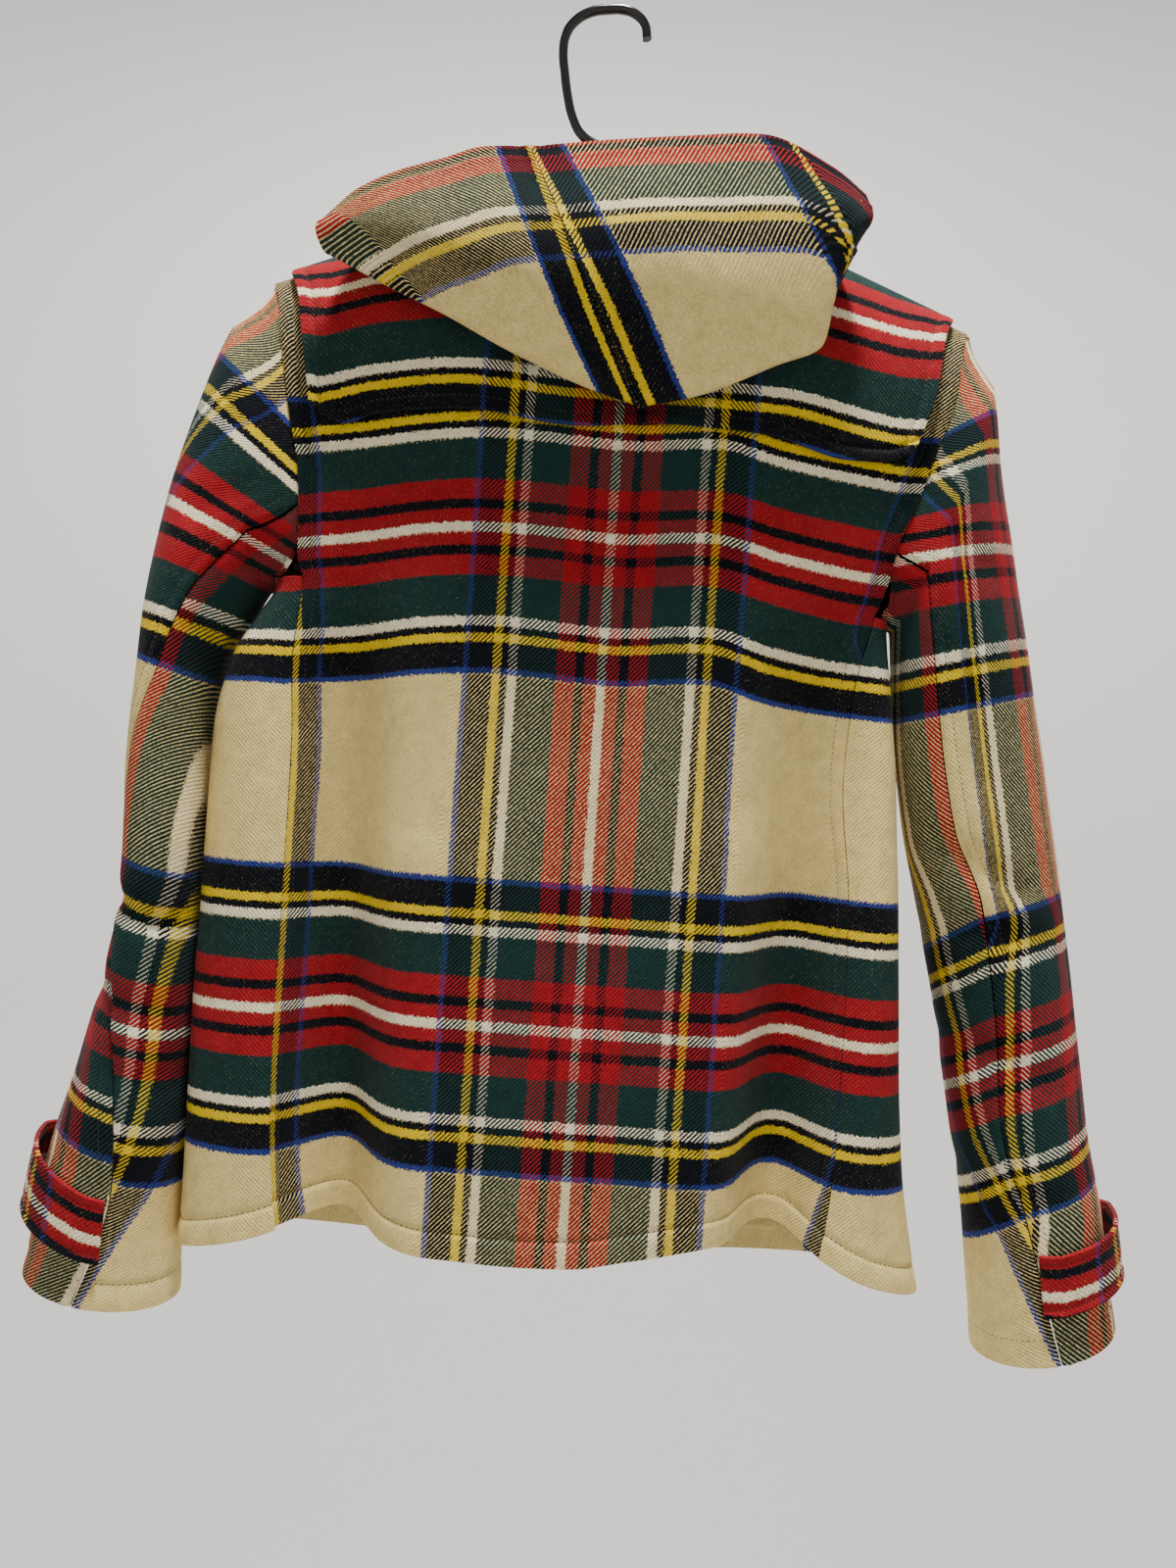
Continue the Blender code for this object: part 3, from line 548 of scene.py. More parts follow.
def front_y(x, drop):
    """The outer face of the left front, which runs on under the right one."""
    rounded = shoulder_round(x, drop)
    full = looked_up(DEPTH, "front", "drop", drop) + SIDE_Y - SEAM
    return SIDE_Y * rounded - SEAM - full * bulge(x, drop, FRONT_POWER) * rounded


def fronts_y(side, x, drop):
    """The outer face of either front. The right one steps out to lie over the left."""
    over = np.clip((x + 2 * OVERLAP_EASE) / OVERLAP_EASE, 0, 1)
    step = OVERLAP_STEP * over * over * (3 - 2 * over)
    return front_y(x, drop) - (step if side < 0 else 0)


def neck_drop(x, bottom):
    """The neckline, from its sides at the shoulders to its bottom at the centre."""
    across = np.clip(np.abs(x) / NECK_HALF, 0, 1)
    return NECK_SIDE + (bottom - NECK_SIDE) * (1 - across**2) ** 0.75


def top_drop(x, neck_bottom):
    """The upper edge of a front or back: the neckline, then the shoulder."""
    return np.where(np.abs(x) < NECK_HALF, neck_drop(x, neck_bottom), ridge(x))


def cloth_point(x, y, drop):
    x, y, drop = np.broadcast_arrays(x, y, drop)
    return np.stack([x, y, -drop], axis=-1).astype(float)


def sampled(surface, across, down):
    """The surface's points on a grid, with the unit normal of each."""
    small = 0.004
    u, v = np.meshgrid(across, down)
    points = surface(u, v)
    along_u = surface(np.minimum(u + small, 1), v) - surface(np.maximum(u - small, 0), v)
    along_v = surface(u, np.minimum(v + small, 1)) - surface(u, np.maximum(v - small, 0))
    normals = np.cross(along_u, along_v)
    normals /= np.linalg.norm(normals, axis=-1, keepdims=True)
    return points, normals


print("shoulder line at the neck", NECK_SIDE, "mm below the hook")

# %% The panels of the body
def back_surface(u, v):
    """The centre back: shoulders to armpits in the first third of v, then down to the hem."""
    upper = np.clip(v * 3, 0, 1)
    lower = np.clip((v * 3 - 1) / 2, 0, 1)
    x = between(-1.0, 1.0, u)
    drop = between(190.0, ARMPIT, upper) + (790 - ARMPIT) * lower
    for _ in range(3):
        edge_left = np.where(v * 3 < 1, armhole_x(1, drop), body_value("seam", 1, drop))
        edge_right = np.where(v * 3 < 1, armhole_x(-1, drop), -body_value("seam", -1, drop))
        near_armpit = np.clip((drop - 345) / (ARMPIT - 345), 0, 1)
        seam_left, seam_right = body_value("seam", 1, drop), -body_value("seam", -1, drop)
        edge_left = np.where(v * 3 < 1, between(edge_left, seam_left, near_armpit), edge_left)
        edge_right = np.where(v * 3 < 1, between(edge_right, seam_right, near_armpit), edge_right)
        x = between(edge_right + SEAM, edge_left - SEAM, u)
        top = top_drop(x, NECK_BACK)
        hem = looked_up(BACK_HEM, "drop", "x", x)
        drop = between(top, ARMPIT, upper) + (hem - ARMPIT) * lower
    return cloth_point(x, back_y(x, drop), drop)


def side_back_surface(side):
    """A side-back panel, from its seam with the centre back to the side seam."""

    def surface(u, v):
        drop = between(ARMPIT, 795.0, v)
        for _ in range(3):
            seam = body_value("seam", side, drop) + 2 * SEAM
            x = side * between(seam, body_value("side", side, drop), eased(u))
            drop = between(ARMPIT, looked_up(BACK_HEM, "drop", "x", x), v)
        return cloth_point(x, back_y(x, drop), drop)

    return surface


def front_surface(side):
    """A front, from the edge past the centre line to the armhole and the side seam."""

    def surface(u, v):
        upper = np.clip(v * 3, 0, 1)
        lower = np.clip((v * 3 - 1) / 2, 0, 1)
        drop = between(190.0, ARMPIT, upper) + (800 - ARMPIT) * lower
        for _ in range(3):
            outer = np.where(v * 3 < 1, armhole_x(side, drop), side * body_value("side", side, drop))
            x = between(-side * FRONT_OVERLAP, outer, eased(u))
            top = top_drop(x, NECK_FRONT)
            hem = looked_up(FRONT_HEM, "drop", "x", x)
            drop = between(top, ARMPIT, upper) + (hem - ARMPIT) * lower
        return cloth_point(x, fronts_y(side, x, drop), drop)

    return surface


def yoke_edge_x(side, drop):
    """The loose side edge of the shoulder cape, inside the armhole."""
    return armhole_x(side, np.maximum(drop, 190)) - side * 15


def yoke_back_surface(u, v):
    drop = between(180.0, 280.0, v)
    for _ in range(3):
        x = between(yoke_edge_x(-1, drop), yoke_edge_x(1, drop), u)
        drop = between(top_drop(x, NECK_BACK), looked_up(YOKE_BACK_BOTTOM, "drop", "x", x), v)
    return cloth_point(x, back_y(x, drop), drop)


def yoke_front_surface(side):
    def surface(u, v):
        drop = between(180.0, YOKE_FRONT_BOTTOM, v)
        for _ in range(3):
            x = between(side * YOKE_FRONT_INNER, yoke_edge_x(side, drop), u)
            drop = between(top_drop(x, NECK_FRONT), YOKE_FRONT_BOTTOM, v)
        return cloth_point(x, fronts_y(side, x, drop), drop)

    return surface


def pocket_surface(side):
    """A patch pocket that bulges off its front, from its inner edge round to the side seam."""

    def surface(u, v):
        drop = between(POCKET_TOP, POCKET_BOTTOM, v)
        outer = body_value("side", side, drop)
        x = side * between(POCKET_INNER, outer, eased(u * 0.985))
        y = front_y(x, drop)
        base = cloth_point(x, y, drop)
        stand = POCKET_BULGE * np.sin(math.pi * u**1.3) ** 0.6 * (1 - v**6) * (0.45 + 0.55 * (1 - v))
        away = np.stack([side * np.abs(x) ** 6 / outer**6, -np.ones_like(x), np.zeros_like(x)], axis=-1)
        away /= np.linalg.norm(away, axis=-1, keepdims=True)
        return base + away * stand[..., None]

    return surface


print("panels: back, two side backs, two fronts, cape, two pockets")

# %% [markdown]
# ## How a panel is made
# Thick wool has a visible edge, so a panel is a wall with two faces, 3 mm apart. A grid is made and copied,
# the two are bridged round their rim, and then every corner of the grid is moved to its place on the
# hanging surface. The same grid gives the UV map: distance across and down the cloth. Seams and hems have a
# sunk line of stitching beside a fuller edge, so rows of the grid lie close together there.

# %% From the coat's own frame to the world
def hung(points):
    """Points of the coat, in mm, as they hang askew from the hook, in metres."""
    x = points[..., 0] - HOOK_SHIFT
    up = points[..., 2]
    turned_x = x * math.cos(TILT) - up * math.sin(TILT)
    turned_up = x * math.sin(TILT) + up * math.cos(TILT)
    return np.stack([turned_x, points[..., 1], turned_up], axis=-1) * MM


def shares(count, length=1.0, start=(), end=()):
    """Even shares from 0 to 1, with closer ones at given distances from either edge of a length in mm."""
    first = [distance / length for distance in start]
    last = [1 - distance / length for distance in end]
    low = max(first, default=0.0) + 0.4 / count
    high = min(last, default=1.0) - 0.4 / count
    even = [share for share in np.linspace(0, 1, count + 1) if low < share < high]
    return np.array(sorted({0.0, 1.0, *first, *last, *even}))


def beside(distance):
    """The grid rows round a line of stitching at a distance from an edge."""
    return (1.0, 3.0, distance - 3.2, distance - 1.3, distance, distance + 1.3, distance + 3.2)


print("a hem's rows, in mm:", beside(16))

# %% Distances over the cloth
def grid_lengths(points):
    """Distances from the left edge and from the top edge of each point of a grid, over the cloth."""
    step_across = np.linalg.norm(np.diff(points, axis=1), axis=-1)
    step_down = np.linalg.norm(np.diff(points, axis=0), axis=-1)
    across = np.concatenate([np.zeros((len(points), 1)), np.cumsum(step_across, axis=1)], axis=1)
    down = np.concatenate([np.zeros((1, points.shape[1])), np.cumsum(step_down, axis=0)], axis=0)
    return across, down


def hem_relief(distance, at, full=0.7, groove=0.9):
    """The fuller edge of a turned hem, and the groove that its stitching pulls, at a set distance."""
    edge = full / (1 + np.exp((distance - at + 1.5) / 0.8))
    return edge - groove * np.exp(-(((distance - at) / 1.5) ** 2))


def soft_troughs(points, rows):
    """How far the cloth sinks, from rows of two ends (each an x and a drop), a width and a depth in mm."""
    x, drop = points[..., 0], -points[..., 2]
    sunk = np.zeros_like(x)
    for x0, drop0, x1, drop1, wide, deep in rows:
        run_x, run_drop = x1 - x0, drop1 - drop0
        along = ((x - x0) * run_x + (drop - drop0) * run_drop) / (run_x**2 + run_drop**2)
        along = np.clip(along, 0, 1)
        away = (x - x0 - along * run_x) ** 2 + (drop - drop0 - along * run_drop) ** 2
        sunk += deep * np.exp(-away / wide**2)
    return sunk


def below_ridge(panel, length):
    """0 on the shoulder line, and 1 from a given length below it."""
    return np.clip((-panel.base[..., 2] - ridge(panel.base[..., 0])) / length, 0, 1)


def rumple(points, seed, height=0.5):
    """The slight unevenness of heavy cloth: a few slow waves that don't line up."""
    x, y, z = points[..., 0], points[..., 1], points[..., 2]
    first = np.sin(x / 19 + 1.3 * np.sin(z / 41 + seed) + seed)
    second = np.sin(z / 27 + 1.1 * np.sin(x / 33 - seed) + y / 25)
    third = np.sin((x + z) / 13 + seed * 2 + np.sin(y / 17))
    return height * (0.5 * first + 0.4 * second + 0.25 * third)


TRIAL_TROUGH = (0, -1, 0, 1, 5, 3)
print("sink of a 3 mm trough at its middle:", soft_troughs(np.zeros((1, 3)), (TRIAL_TROUGH,))[0])

# %% The wall itself
class Panel:
    """A piece of cloth, with what its stitching needs: its outer face and the distances over it."""

    def __init__(self, name, surface, across, down, outward, lift=-CLOTH, thick=CLOTH, level_top=False):
        self.name = name
        self.across, self.down = np.asarray(across), np.asarray(down)
        points, normals = sampled(surface, self.across, self.down)
        middle = normals[len(self.down) // 2, len(self.across) // 2]
        normals = normals * np.sign(middle @ np.array(outward))
        if level_top:
            normals[0, :, 1] *= np.clip((NECK_HALF - np.abs(points[0, :, 0])) / NECK_TURN, 0, 1)
            normals[0] /= np.linalg.norm(normals[0], axis=-1, keepdims=True)
        self.base, self.normals = points, normals
        self.lift, self.thick = lift, thick
        self.from_left, self.from_top = grid_lengths(points)
        self.from_right = self.from_left[:, -1:] - self.from_left
        self.from_bottom = self.from_top[-1:] - self.from_top
        self.rise = np.zeros(points.shape[:2])

    def stitched(self, edges, at, full=0.7, groove=0.9):
        """The relief of a line of stitching along each of the edges named."""
        return sum(hem_relief(getattr(self, "from_" + edge), at, full, groove) for edge in edges)

    def outer(self):
        return self.base + self.normals * (self.lift + self.thick + self.rise)[..., None]

    def inner(self):
        return self.base + self.normals * (self.lift + self.rise * 0.6)[..., None]

    def build(self, cloth_across, cloth_down, fold_row=None, folded=(0.0, 0.0)):
        """The mesh. The arrays give each point's place on the cloth in mm, moved by folded below a fold."""
        columns, rows = len(self.across) - 1, len(self.down) - 1
        mesh = bmesh.new()
        bmesh.ops.create_grid(mesh, x_segments=columns, y_segments=rows, size=1)
        count = len(mesh.verts)
        copied = bmesh.ops.duplicate(mesh, geom=mesh.verts[:] + mesh.edges[:] + mesh.faces[:])
        below = [item for item in copied["geom"] if isinstance(item, bmesh.types.BMVert)]
        faces = [item for item in copied["geom"] if isinstance(item, bmesh.types.BMFace)]
        bmesh.ops.translate(mesh, verts=below, vec=(0, 0, -0.01))
        bmesh.ops.reverse_faces(mesh, faces=faces)
        rim = [edge for edge in mesh.edges if edge.is_boundary]
        bmesh.ops.bridge_loops(mesh, edges=rim)
        data = bpy.data.meshes.new(self.name)
        mesh.to_mesh(data)
        mesh.free()
        place = np.empty(len(data.vertices) * 3)
        data.vertices.foreach_get("co", place)
        place = place.reshape(-1, 3)
        column = np.rint((place[:, 0] + 1) / 2 * columns).astype(int)
        row = np.rint((1 - place[:, 1]) / 2 * rows).astype(int)
        outer, inner = hung(self.outer()), hung(self.inner())
        on_top = place[:, 2] > -0.005
        co = np.where(on_top[:, None], outer[row, column], inner[row, column])
        data.vertices.foreach_set("co", co.ravel())
        corner = np.empty(len(data.loops), int)
        data.loops.foreach_get("vertex_index", corner)
        uv = np.stack([cloth_across[row, column], cloth_down[row, column]], axis=-1)[corner]
        if fold_row is not None:
            starts = np.array([polygon.loop_start for polygon in data.polygons])
            sizes = np.array([polygon.loop_total for polygon in data.polygons])
            lowest = np.minimum.reduceat(row[corner], starts)
            uv += np.repeat(lowest >= fold_row, sizes)[:, None] * np.array(folded)
        layer = data.uv_layers.new(name="cloth")
        layer.data.foreach_set("uv", (uv * MM).ravel())
        across_way = outer[rows // 2, columns // 2 + 1] - outer[rows // 2, columns // 2]
        down_way = outer[rows // 2 + 1, columns // 2] - outer[rows // 2, columns // 2]
        outward = outer[rows // 2, columns // 2] - inner[rows // 2, columns // 2]
        if np.cross(across_way, down_way) @ outward > 0:
            data.flip_normals()
        data.update()
        data.shade_smooth()
        data.set_sharp_from_angle(angle=math.radians(50))
        piece = add_object(self.name, data)
        bevel = piece.modifiers.new("soft_edge", "BEVEL")
        bevel.width = 0.9 * MM
        bevel.segments = 2
        bevel.limit_method = "ANGLE"
        bevel.angle_limit = math.radians(55)
        data.materials.append(WOOL)
        self.piece = piece
        self.flat_area = float(np.sum(self.face_areas(outer)))
        return piece

    def face_areas(self, outer):
        first = np.cross(outer[1:, :-1] - outer[:-1, :-1], outer[:-1, 1:] - outer[:-1, :-1])
        second = np.cross(outer[1:, 1:] - outer[:-1, 1:], outer[1:, 1:] - outer[1:, :-1])
        return (np.linalg.norm(first, axis=-1) + np.linalg.norm(second, axis=-1)) / 2


print("a panel is two faces", CLOTH, "mm apart")

# %% Handing a panel to the frame
SHEETS = []


def finish_cloth(panel, node):
    """The panel rides on the part, stands for its node, and the size that it was cut to is kept in a list and
    printed.
    """
    piece = panel.piece
    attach(piece, "root")
    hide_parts(node)
    width = float(panel.from_left[:, -1].max()) * MM
    length = float(panel.from_top[-1].max()) * MM
    area = min(panel.flat_area, width * length)
    SHEETS.append((piece.name, round(width, 3), round(length, 3), round(area, 4)))
    print(piece.name, len(piece.data.polygons), "faces, cut", round(width, 3), "x", round(length, 3), "m")


def centred_across(panel, middle_x):
    """Distance across the cloth from the line where x is middle_x, to its left and right."""
    level = panel.base.copy()
    level[..., 2] = 0
    run = grid_lengths(level)[0]
    x = panel.base[..., 0]
    start = np.array([np.interp(middle_x, line, way) for line, way in zip(x, run)])
    return run - start[:, None]


def sunk_down(panel, reference=450.0):
    """How far down the cloth each point lies: its drop, with the extra length where the cloth leans."""
    straight = panel.base.copy()
    straight[..., 0] = 0
    run = grid_lengths(straight)[1]
    drop = -panel.base[..., 2]
    nearest = np.clip(reference, drop.min(axis=0), drop.max(axis=0))
    start = np.array([np.interp(near, line, way) for near, line, way in zip(nearest, drop.T, run.T)])
    return run - start[None, :] + nearest[None, :]


print("ready for the first panel")

# %% [markdown]
# ## The back and the side backs
# The centre back runs from the shoulders to the hem, and its white middle stripe hangs a little to one side
# of the centre line. The side backs carry its rows on beyond the two seams. The hem is turned up and
# stitched 16 mm above its edge. A few slow troughs are listed: below the cape, and along the side
# folds.

# %% Where the stripes fall on the body
ACROSS_SCALE = 1 / 0.945
MIDDLE_STRIPE_X = -5.5
# A row for each height: which stripe lies at the seams beside the centre back
SEAM_STRIPES = table(
    "drop left right",
    (120, 228, 228), (388, 228, 228), (420, 233.5, 204),
    (700, 233.5, 210), (760, 233.5, 222), (830, 233.5, 234),
)
# How far the rows of stripes lie below the level at each x of the back, and above it at each x of the cape
BACK_DIP = table(
    "x dip", (-178, 10), (-111, 4), (-68, -5), (-10, 0), (61, -3), (135, 5), (176, 11), (187, 13)
)
CAPE_RISE = table("x rise", (-176, -4), (-96, 9), (24, 10), (83, 14), (144, 7), (176.5, -3))
# The middle group of stripes keeps its widths, and the cloth is stretched only beyond it
STRETCH_FROM = HALF_SETT - SETT[-1][1] + 5
GROUP_DROP = 349.0
HEM_STITCH = 16.0
SEAM_STITCH = 8.0
BACK_TROUGHS = (
    # x, drop, x, drop, width, depth
    (60, 330, 95, 520, 22, 3.0),
    (150, 430, 166, 780, 22, 5.0),
    (-116, 420, -130, 770, 26, 6.0),
    (-70, 320, -92, 500, 20, 3.0),
    (10, 470, 25, 700, 30, 1.6),
    (-40, 560, -30, 780, 26, 1.8),
    (70, 600, 62, 790, 24, 2.0),
    (150, 395, 175, 470, 14, 1.8),
    (-150, 395, -168, 470, 14, 1.8),
)


def to_the_seam(panel, across, side):
    """The cream ground takes up the slack, so that the chosen stripe lies at the seam all the way down."""
    x = panel.base[..., 0] * side
    placed = across.copy()
    for row, (line, way) in enumerate(zip(x, np.abs(across))):
        beyond = (line > MIDDLE_STRIPE_X * side) & (way > STRETCH_FROM)
        drop = -panel.base[row, np.argmax(line), 2]
        at_seam = float(looked_up(SEAM_STRIPES, "left" if side > 0 else "right", "drop", drop))
        start, end = line[beyond].min(), line.max()
        far = STRETCH_FROM + (line - start) / (end - start) * (at_seam - STRETCH_FROM)
        placed[row] = np.where(beyond, far * np.sign(across[row]), across[row])
    return placed


def body_place(panel, seam_from=None):
    """The cloth's own coordinates over a body panel. A side panel starts at its seam with a chosen stripe."""
    if seam_from is None:
        across = -centred_across(panel, MIDDLE_STRIPE_X) * ACROSS_SCALE
        for side in (1, -1):
            across = to_the_seam(panel, across, side)
    else:
        across = panel.from_left * ACROSS_SCALE + seam_from
    x, drop = panel.base[..., 0], -panel.base[..., 2]
    dip = looked_up(BACK_DIP, "dip", "x", x) * np.clip((550 - drop) / 120, 0, 1)
    return across, sunk_down(panel) - GROUP_DROP - dip


print("the first group's middle lies", GROUP_DROP, "mm below the hook")

# %% The centre back
BACK_LENGTH = 640.0
SHOULDER_ROWS = (2.0, 5.0, 9.0, 14.0, 20.0, 27.0)


def add_back():
    rows = shares(150, BACK_LENGTH, start=SHOULDER_ROWS, end=beside(HEM_STITCH))
    columns = shares(110, 450.0, start=beside(SEAM_STITCH)[1:], end=beside(SEAM_STITCH)[1:])
    panel = Panel("back_panel", back_surface, columns, rows, (0, 1, 0), level_top=True)
    rise = hem_relief(panel.from_bottom, HEM_STITCH)
    below = np.clip((-panel.base[..., 2] - 350) / 60, 0, 1)
    for distance in (panel.from_left, panel.from_right):
        rise += hem_relief(distance, SEAM_STITCH, 0.4, 0.5) * below
        rise += hem_relief(distance, SEAM_STITCH, 1.3, 1.0) * (1 - below)
    rise += rumple(panel.base, 1.0) - soft_troughs(panel.base, BACK_TROUGHS)
    panel.rise = rise * below_ridge(panel, 40)
    panel.build(*body_place(panel))
    finish_cloth(panel, "back")
    return panel


back = add_back()

# %% The side backs
def add_side_back(side, name, first_stripe):
    rows = shares(110, 410.0, end=beside(HEM_STITCH))
    columns = shares(26, 70.0, start=beside(SEAM_STITCH)[1:])
    panel = Panel("side_back_panel_" + name, side_back_surface(side), columns, rows, (side, 0, 0))
    rise = hem_relief(panel.from_bottom, HEM_STITCH) + rumple(panel.base, 2.0 + side, 0.4)
    panel.rise = rise - hem_relief(panel.from_left, 1.0, 0.0, 0.5)
    panel.build(*body_place(panel, first_stripe))
    finish_cloth(panel, "side_back_" + name)
    return panel


SIDE_FIRST_STRIPE = 98.0
side_back_left = add_side_back(1, "left", SIDE_FIRST_STRIPE)
side_back_right = add_side_back(-1, "right", SIDE_FIRST_STRIPE)

# %% [markdown]
# ## The fronts and their pockets
# The two fronts overlap at the centre and close right over left, as a women's coat does. They hang nearly
# flat. Each has a patch pocket that stands a little off the coat, so its edge shows beside the back's hem.

# %% The fronts
FRONT_TROUGHS = (
    (120, 300, 150, 420, 20, 2.0),
    (-115, 300, -140, 420, 20, 2.0),
    (60, 430, 70, 560, 24, 1.5),
    (-90, 450, -80, 570, 24, 1.5),
)


def add_front(side, name):
    rows = shares(120, BACK_LENGTH, start=SHOULDER_ROWS, end=beside(HEM_STITCH))
    tip = abs(float(armhole_x(side, 190.0)))
    corner = math.asin((NECK_HALF + FRONT_OVERLAP) / (tip + FRONT_OVERLAP)) * 2 / math.pi
    edge = shares(20, 100.0, start=beside(SEAM_STITCH)[:-1]) * corner
    columns = np.concatenate([edge[:-1], np.linspace(corner, 1, 40)])
    panel = Panel("front_panel_" + name, front_surface(side), columns, rows, (0, -1, 0), level_top=True)
    rise = hem_relief(panel.from_bottom, HEM_STITCH, 0.5)
    rise += rumple(panel.base, 4.0 + side, 0.3)
    rise -= soft_troughs(panel.base, FRONT_TROUGHS)
    flat_middle = np.clip((np.abs(panel.base[..., 0]) - 55) / 30, 0, 1)
    panel.rise = np.minimum(rise, 0.2) * below_ridge(panel, 40) * flat_middle
    across = centred_across(panel, 0.0) * side * ACROSS_SCALE
    panel.build(across, sunk_down(panel) - GROUP_DROP)
    finish_cloth(panel, "front_" + name)
    return panel


front_left = add_front(1, "left")
front_right = add_front(-1, "right")

# %% The pockets
POCKET_HEM = 22.0
POCKET_STITCH = 6.0


def add_pocket(side, name):
    close = beside(POCKET_STITCH)[1:]
    rows = shares(44, POCKET_BOTTOM - POCKET_TOP, start=beside(POCKET_HEM), end=close)
    columns = shares(40, 160.0, start=close)
    panel = Panel("pocket_" + name + "_panel", pocket_surface(side), columns, rows, (0, -1, 0), lift=LAY)
    rise = hem_relief(panel.from_top, POCKET_HEM, 0.4, 0.7)
    rise += hem_relief(panel.from_left, POCKET_STITCH, 0.3, 0.6)
    rise += hem_relief(panel.from_bottom, POCKET_STITCH, 0.3, 0.6)
    panel.rise = np.maximum(rise, -0.3)
    across = panel.from_left * ACROSS_SCALE + POCKET_INNER * ACROSS_SCALE
    panel.build(across, -panel.base[..., 2] - GROUP_DROP)
    finish_cloth(panel, "pocket_" + name)
    return panel


pocket_left = add_pocket(1, "left")
pocket_right = add_pocket(-1, "right")

# %% [markdown]
# ## The shoulder cape
# A loose second layer lies over the shoulders, back and front. Its edges are turned and stitched 8 mm
# inside, which leaves a deep, rounded border that catches the light.

# %% The cape
YOKE_STITCH = 8.0
YOKE_GROUP_DROP = 206.0
YOKE_SHOULDER_ROWS = (1.5, 4, 8, 13)
# The cape's last stripe before its side edges
YOKE_LAST_STRIPE = 204


def add_yoke_back():
    rows = shares(44, 150.0, start=YOKE_SHOULDER_ROWS, end=beside(YOKE_STITCH))
    columns = shares(100, 400.0, start=beside(YOKE_STITCH), end=beside(YOKE_STITCH))
    panel = Panel("cape_back", yoke_back_surface, columns, rows, (0, 1, 0), lift=YOKE_LAY, level_top=True)
    rise = panel.stitched(("left", "right", "bottom"), YOKE_STITCH, 1.3, 1.0)
    fade = below_ridge(panel, 14)
    panel.rise = rise * fade + np.maximum(rumple(panel.base, 6.0, 0.4), -0.2) * fade
    across = centred_across(panel, MIDDLE_STRIPE_X) * ACROSS_SCALE
    across = np.clip(across, -YOKE_LAST_STRIPE, YOKE_LAST_STRIPE)
    down = sunk_down(panel, YOKE_GROUP_DROP) - YOKE_GROUP_DROP
    panel.build(across, down + looked_up(CAPE_RISE, "rise", "x", panel.base[..., 0]))
    finish_cloth(panel, "yoke_back")
    return panel


def add_yoke_front(side, name):
    rows = shares(36, 110.0, start=YOKE_SHOULDER_ROWS, end=beside(YOKE_STITCH))
    edge = abs(float(yoke_edge_x(side, 190.0)))
    corner = (NECK_HALF - YOKE_FRONT_INNER) / (edge - YOKE_FRONT_INNER)
    inner = shares(8, 30.0, start=beside(YOKE_STITCH)[:-1]) * corner
    outer = corner + shares(34, 120.0, end=beside(YOKE_STITCH)) * (1 - corner)
    columns = np.concatenate([inner[:-1], outer])
    shape = yoke_front_surface(side)
    panel = Panel("cape_front_" + name, shape, columns, rows, (0, -1, 0), YOKE_LAY, level_top=True)
    rise = panel.stitched(("left", "right", "bottom"), YOKE_STITCH, 0.5, 0.9)
    panel.rise = rise * below_ridge(panel, 14)
    across = (panel.from_left + YOKE_FRONT_INNER) * ACROSS_SCALE
    panel.build(across, sunk_down(panel, YOKE_GROUP_DROP) - YOKE_GROUP_DROP)
    finish_cloth(panel, "yoke_front_" + name)
    return panel


cape_back = add_yoke_back()
cape_front_left = add_yoke_front(1, "left")
cape_front_right = add_yoke_front(-1, "right")

# %% [markdown]
# ## The hood
# The hood has two halves with a seam between them, and hangs folded down the back. Each half runs from the
# neck, under itself, round the fold at the bottom and up to the edge that would frame the face. The stripes
# run along that edge, and a dark group with yellow lines comes down the middle seam.

# %% The hood's tables
HOOD_UNDER = table(
    "share stand_x stand_y stand_z roll_x roll_y roll_z nape_x nape_y nape_z under_x under_y under_z",
    (0.0, 0, 29, 114, 0, 37, 105, 0, 51, 138, 0, 58, 215),
    (0.2, 42, 22, 115, 44, 32, 107, 46, 50, 142, 42, 58, 208),
    (0.4, 69, 1, 118, 78, 14, 106, 92, 42, 130, 92, 57, 188),
    (0.6, 60, -30, 128, 80, -18, 104, 118, 18, 122, 128, 50, 172),
    (0.8, 26, -39, 124, 50, -35, 86, 112, 0, 108, 152, 46, 164),
    (1.0, 46, -39, 78, 62, -35, 78, 124, -2, 108, 166, 44, 160),
)
HOOD_FRONT_TOP = (28.0, -39.0, 72.0)
HOOD_RIGHT_NARROWS = 0.17
HOOD_SEAM = 0.5
HOOD_SEAM_IN = 2.8
HOOD_SEAM_UP = 4.3
HOOD_OUTER_COLUMNS = "share fold_x fold_y fold_z mid_x mid_y mid_z edge_x edge_y edge_z"
HOOD_LEFT = table(
    HOOD_OUTER_COLUMNS,
    (0.0, -17, 69, 272, 24, 89, 200, 58, 73, 128),
    (0.2, 22, 69, 260, 60, 88, 196, 84, 73, 130),
    (0.4, 62, 68, 244, 96, 84, 190, 108, 72, 138),
    (0.6, 98, 67, 227, 126, 79, 184, 134, 70, 146),
    (0.8, 138, 64, 209, 156, 71, 180, 156, 67, 156),
    (1.0, 174, 58, 190, 182, 60, 179, 176, 57, 168),
)
HOOD_RIGHT = table(
    HOOD_OUTER_COLUMNS,
    (0.0, -17, 69, 272, 24, 89, 200, 58, 73, 128),
    (0.2, -52, 69, 262, -18, 90, 190, 14, 74, 122),
    (0.4, -92, 68, 243, -66, 86, 184, -34, 74, 116),
    (0.6, -121, 67, 228, -108, 80, 172, -78, 72, 111),
    (0.8, -127, 64, 196, -132, 74, 160, -118, 68, 124),
    (1.0, -138, 58, 162, -146, 62, 150, -142, 60, 136),
)
print(len(HOOD_LEFT["share"]), "lines from the neck to the face edge on each half")

# %% The hood's surface
def take_rows(stack, index):
    """Rows of a stack of points, or of a stack of grids where each grid cell has its own index."""
    if stack.ndim == 2:
        return stack[index]
    return np.take_along_axis(stack, index[None, ..., None], axis=0)[0]


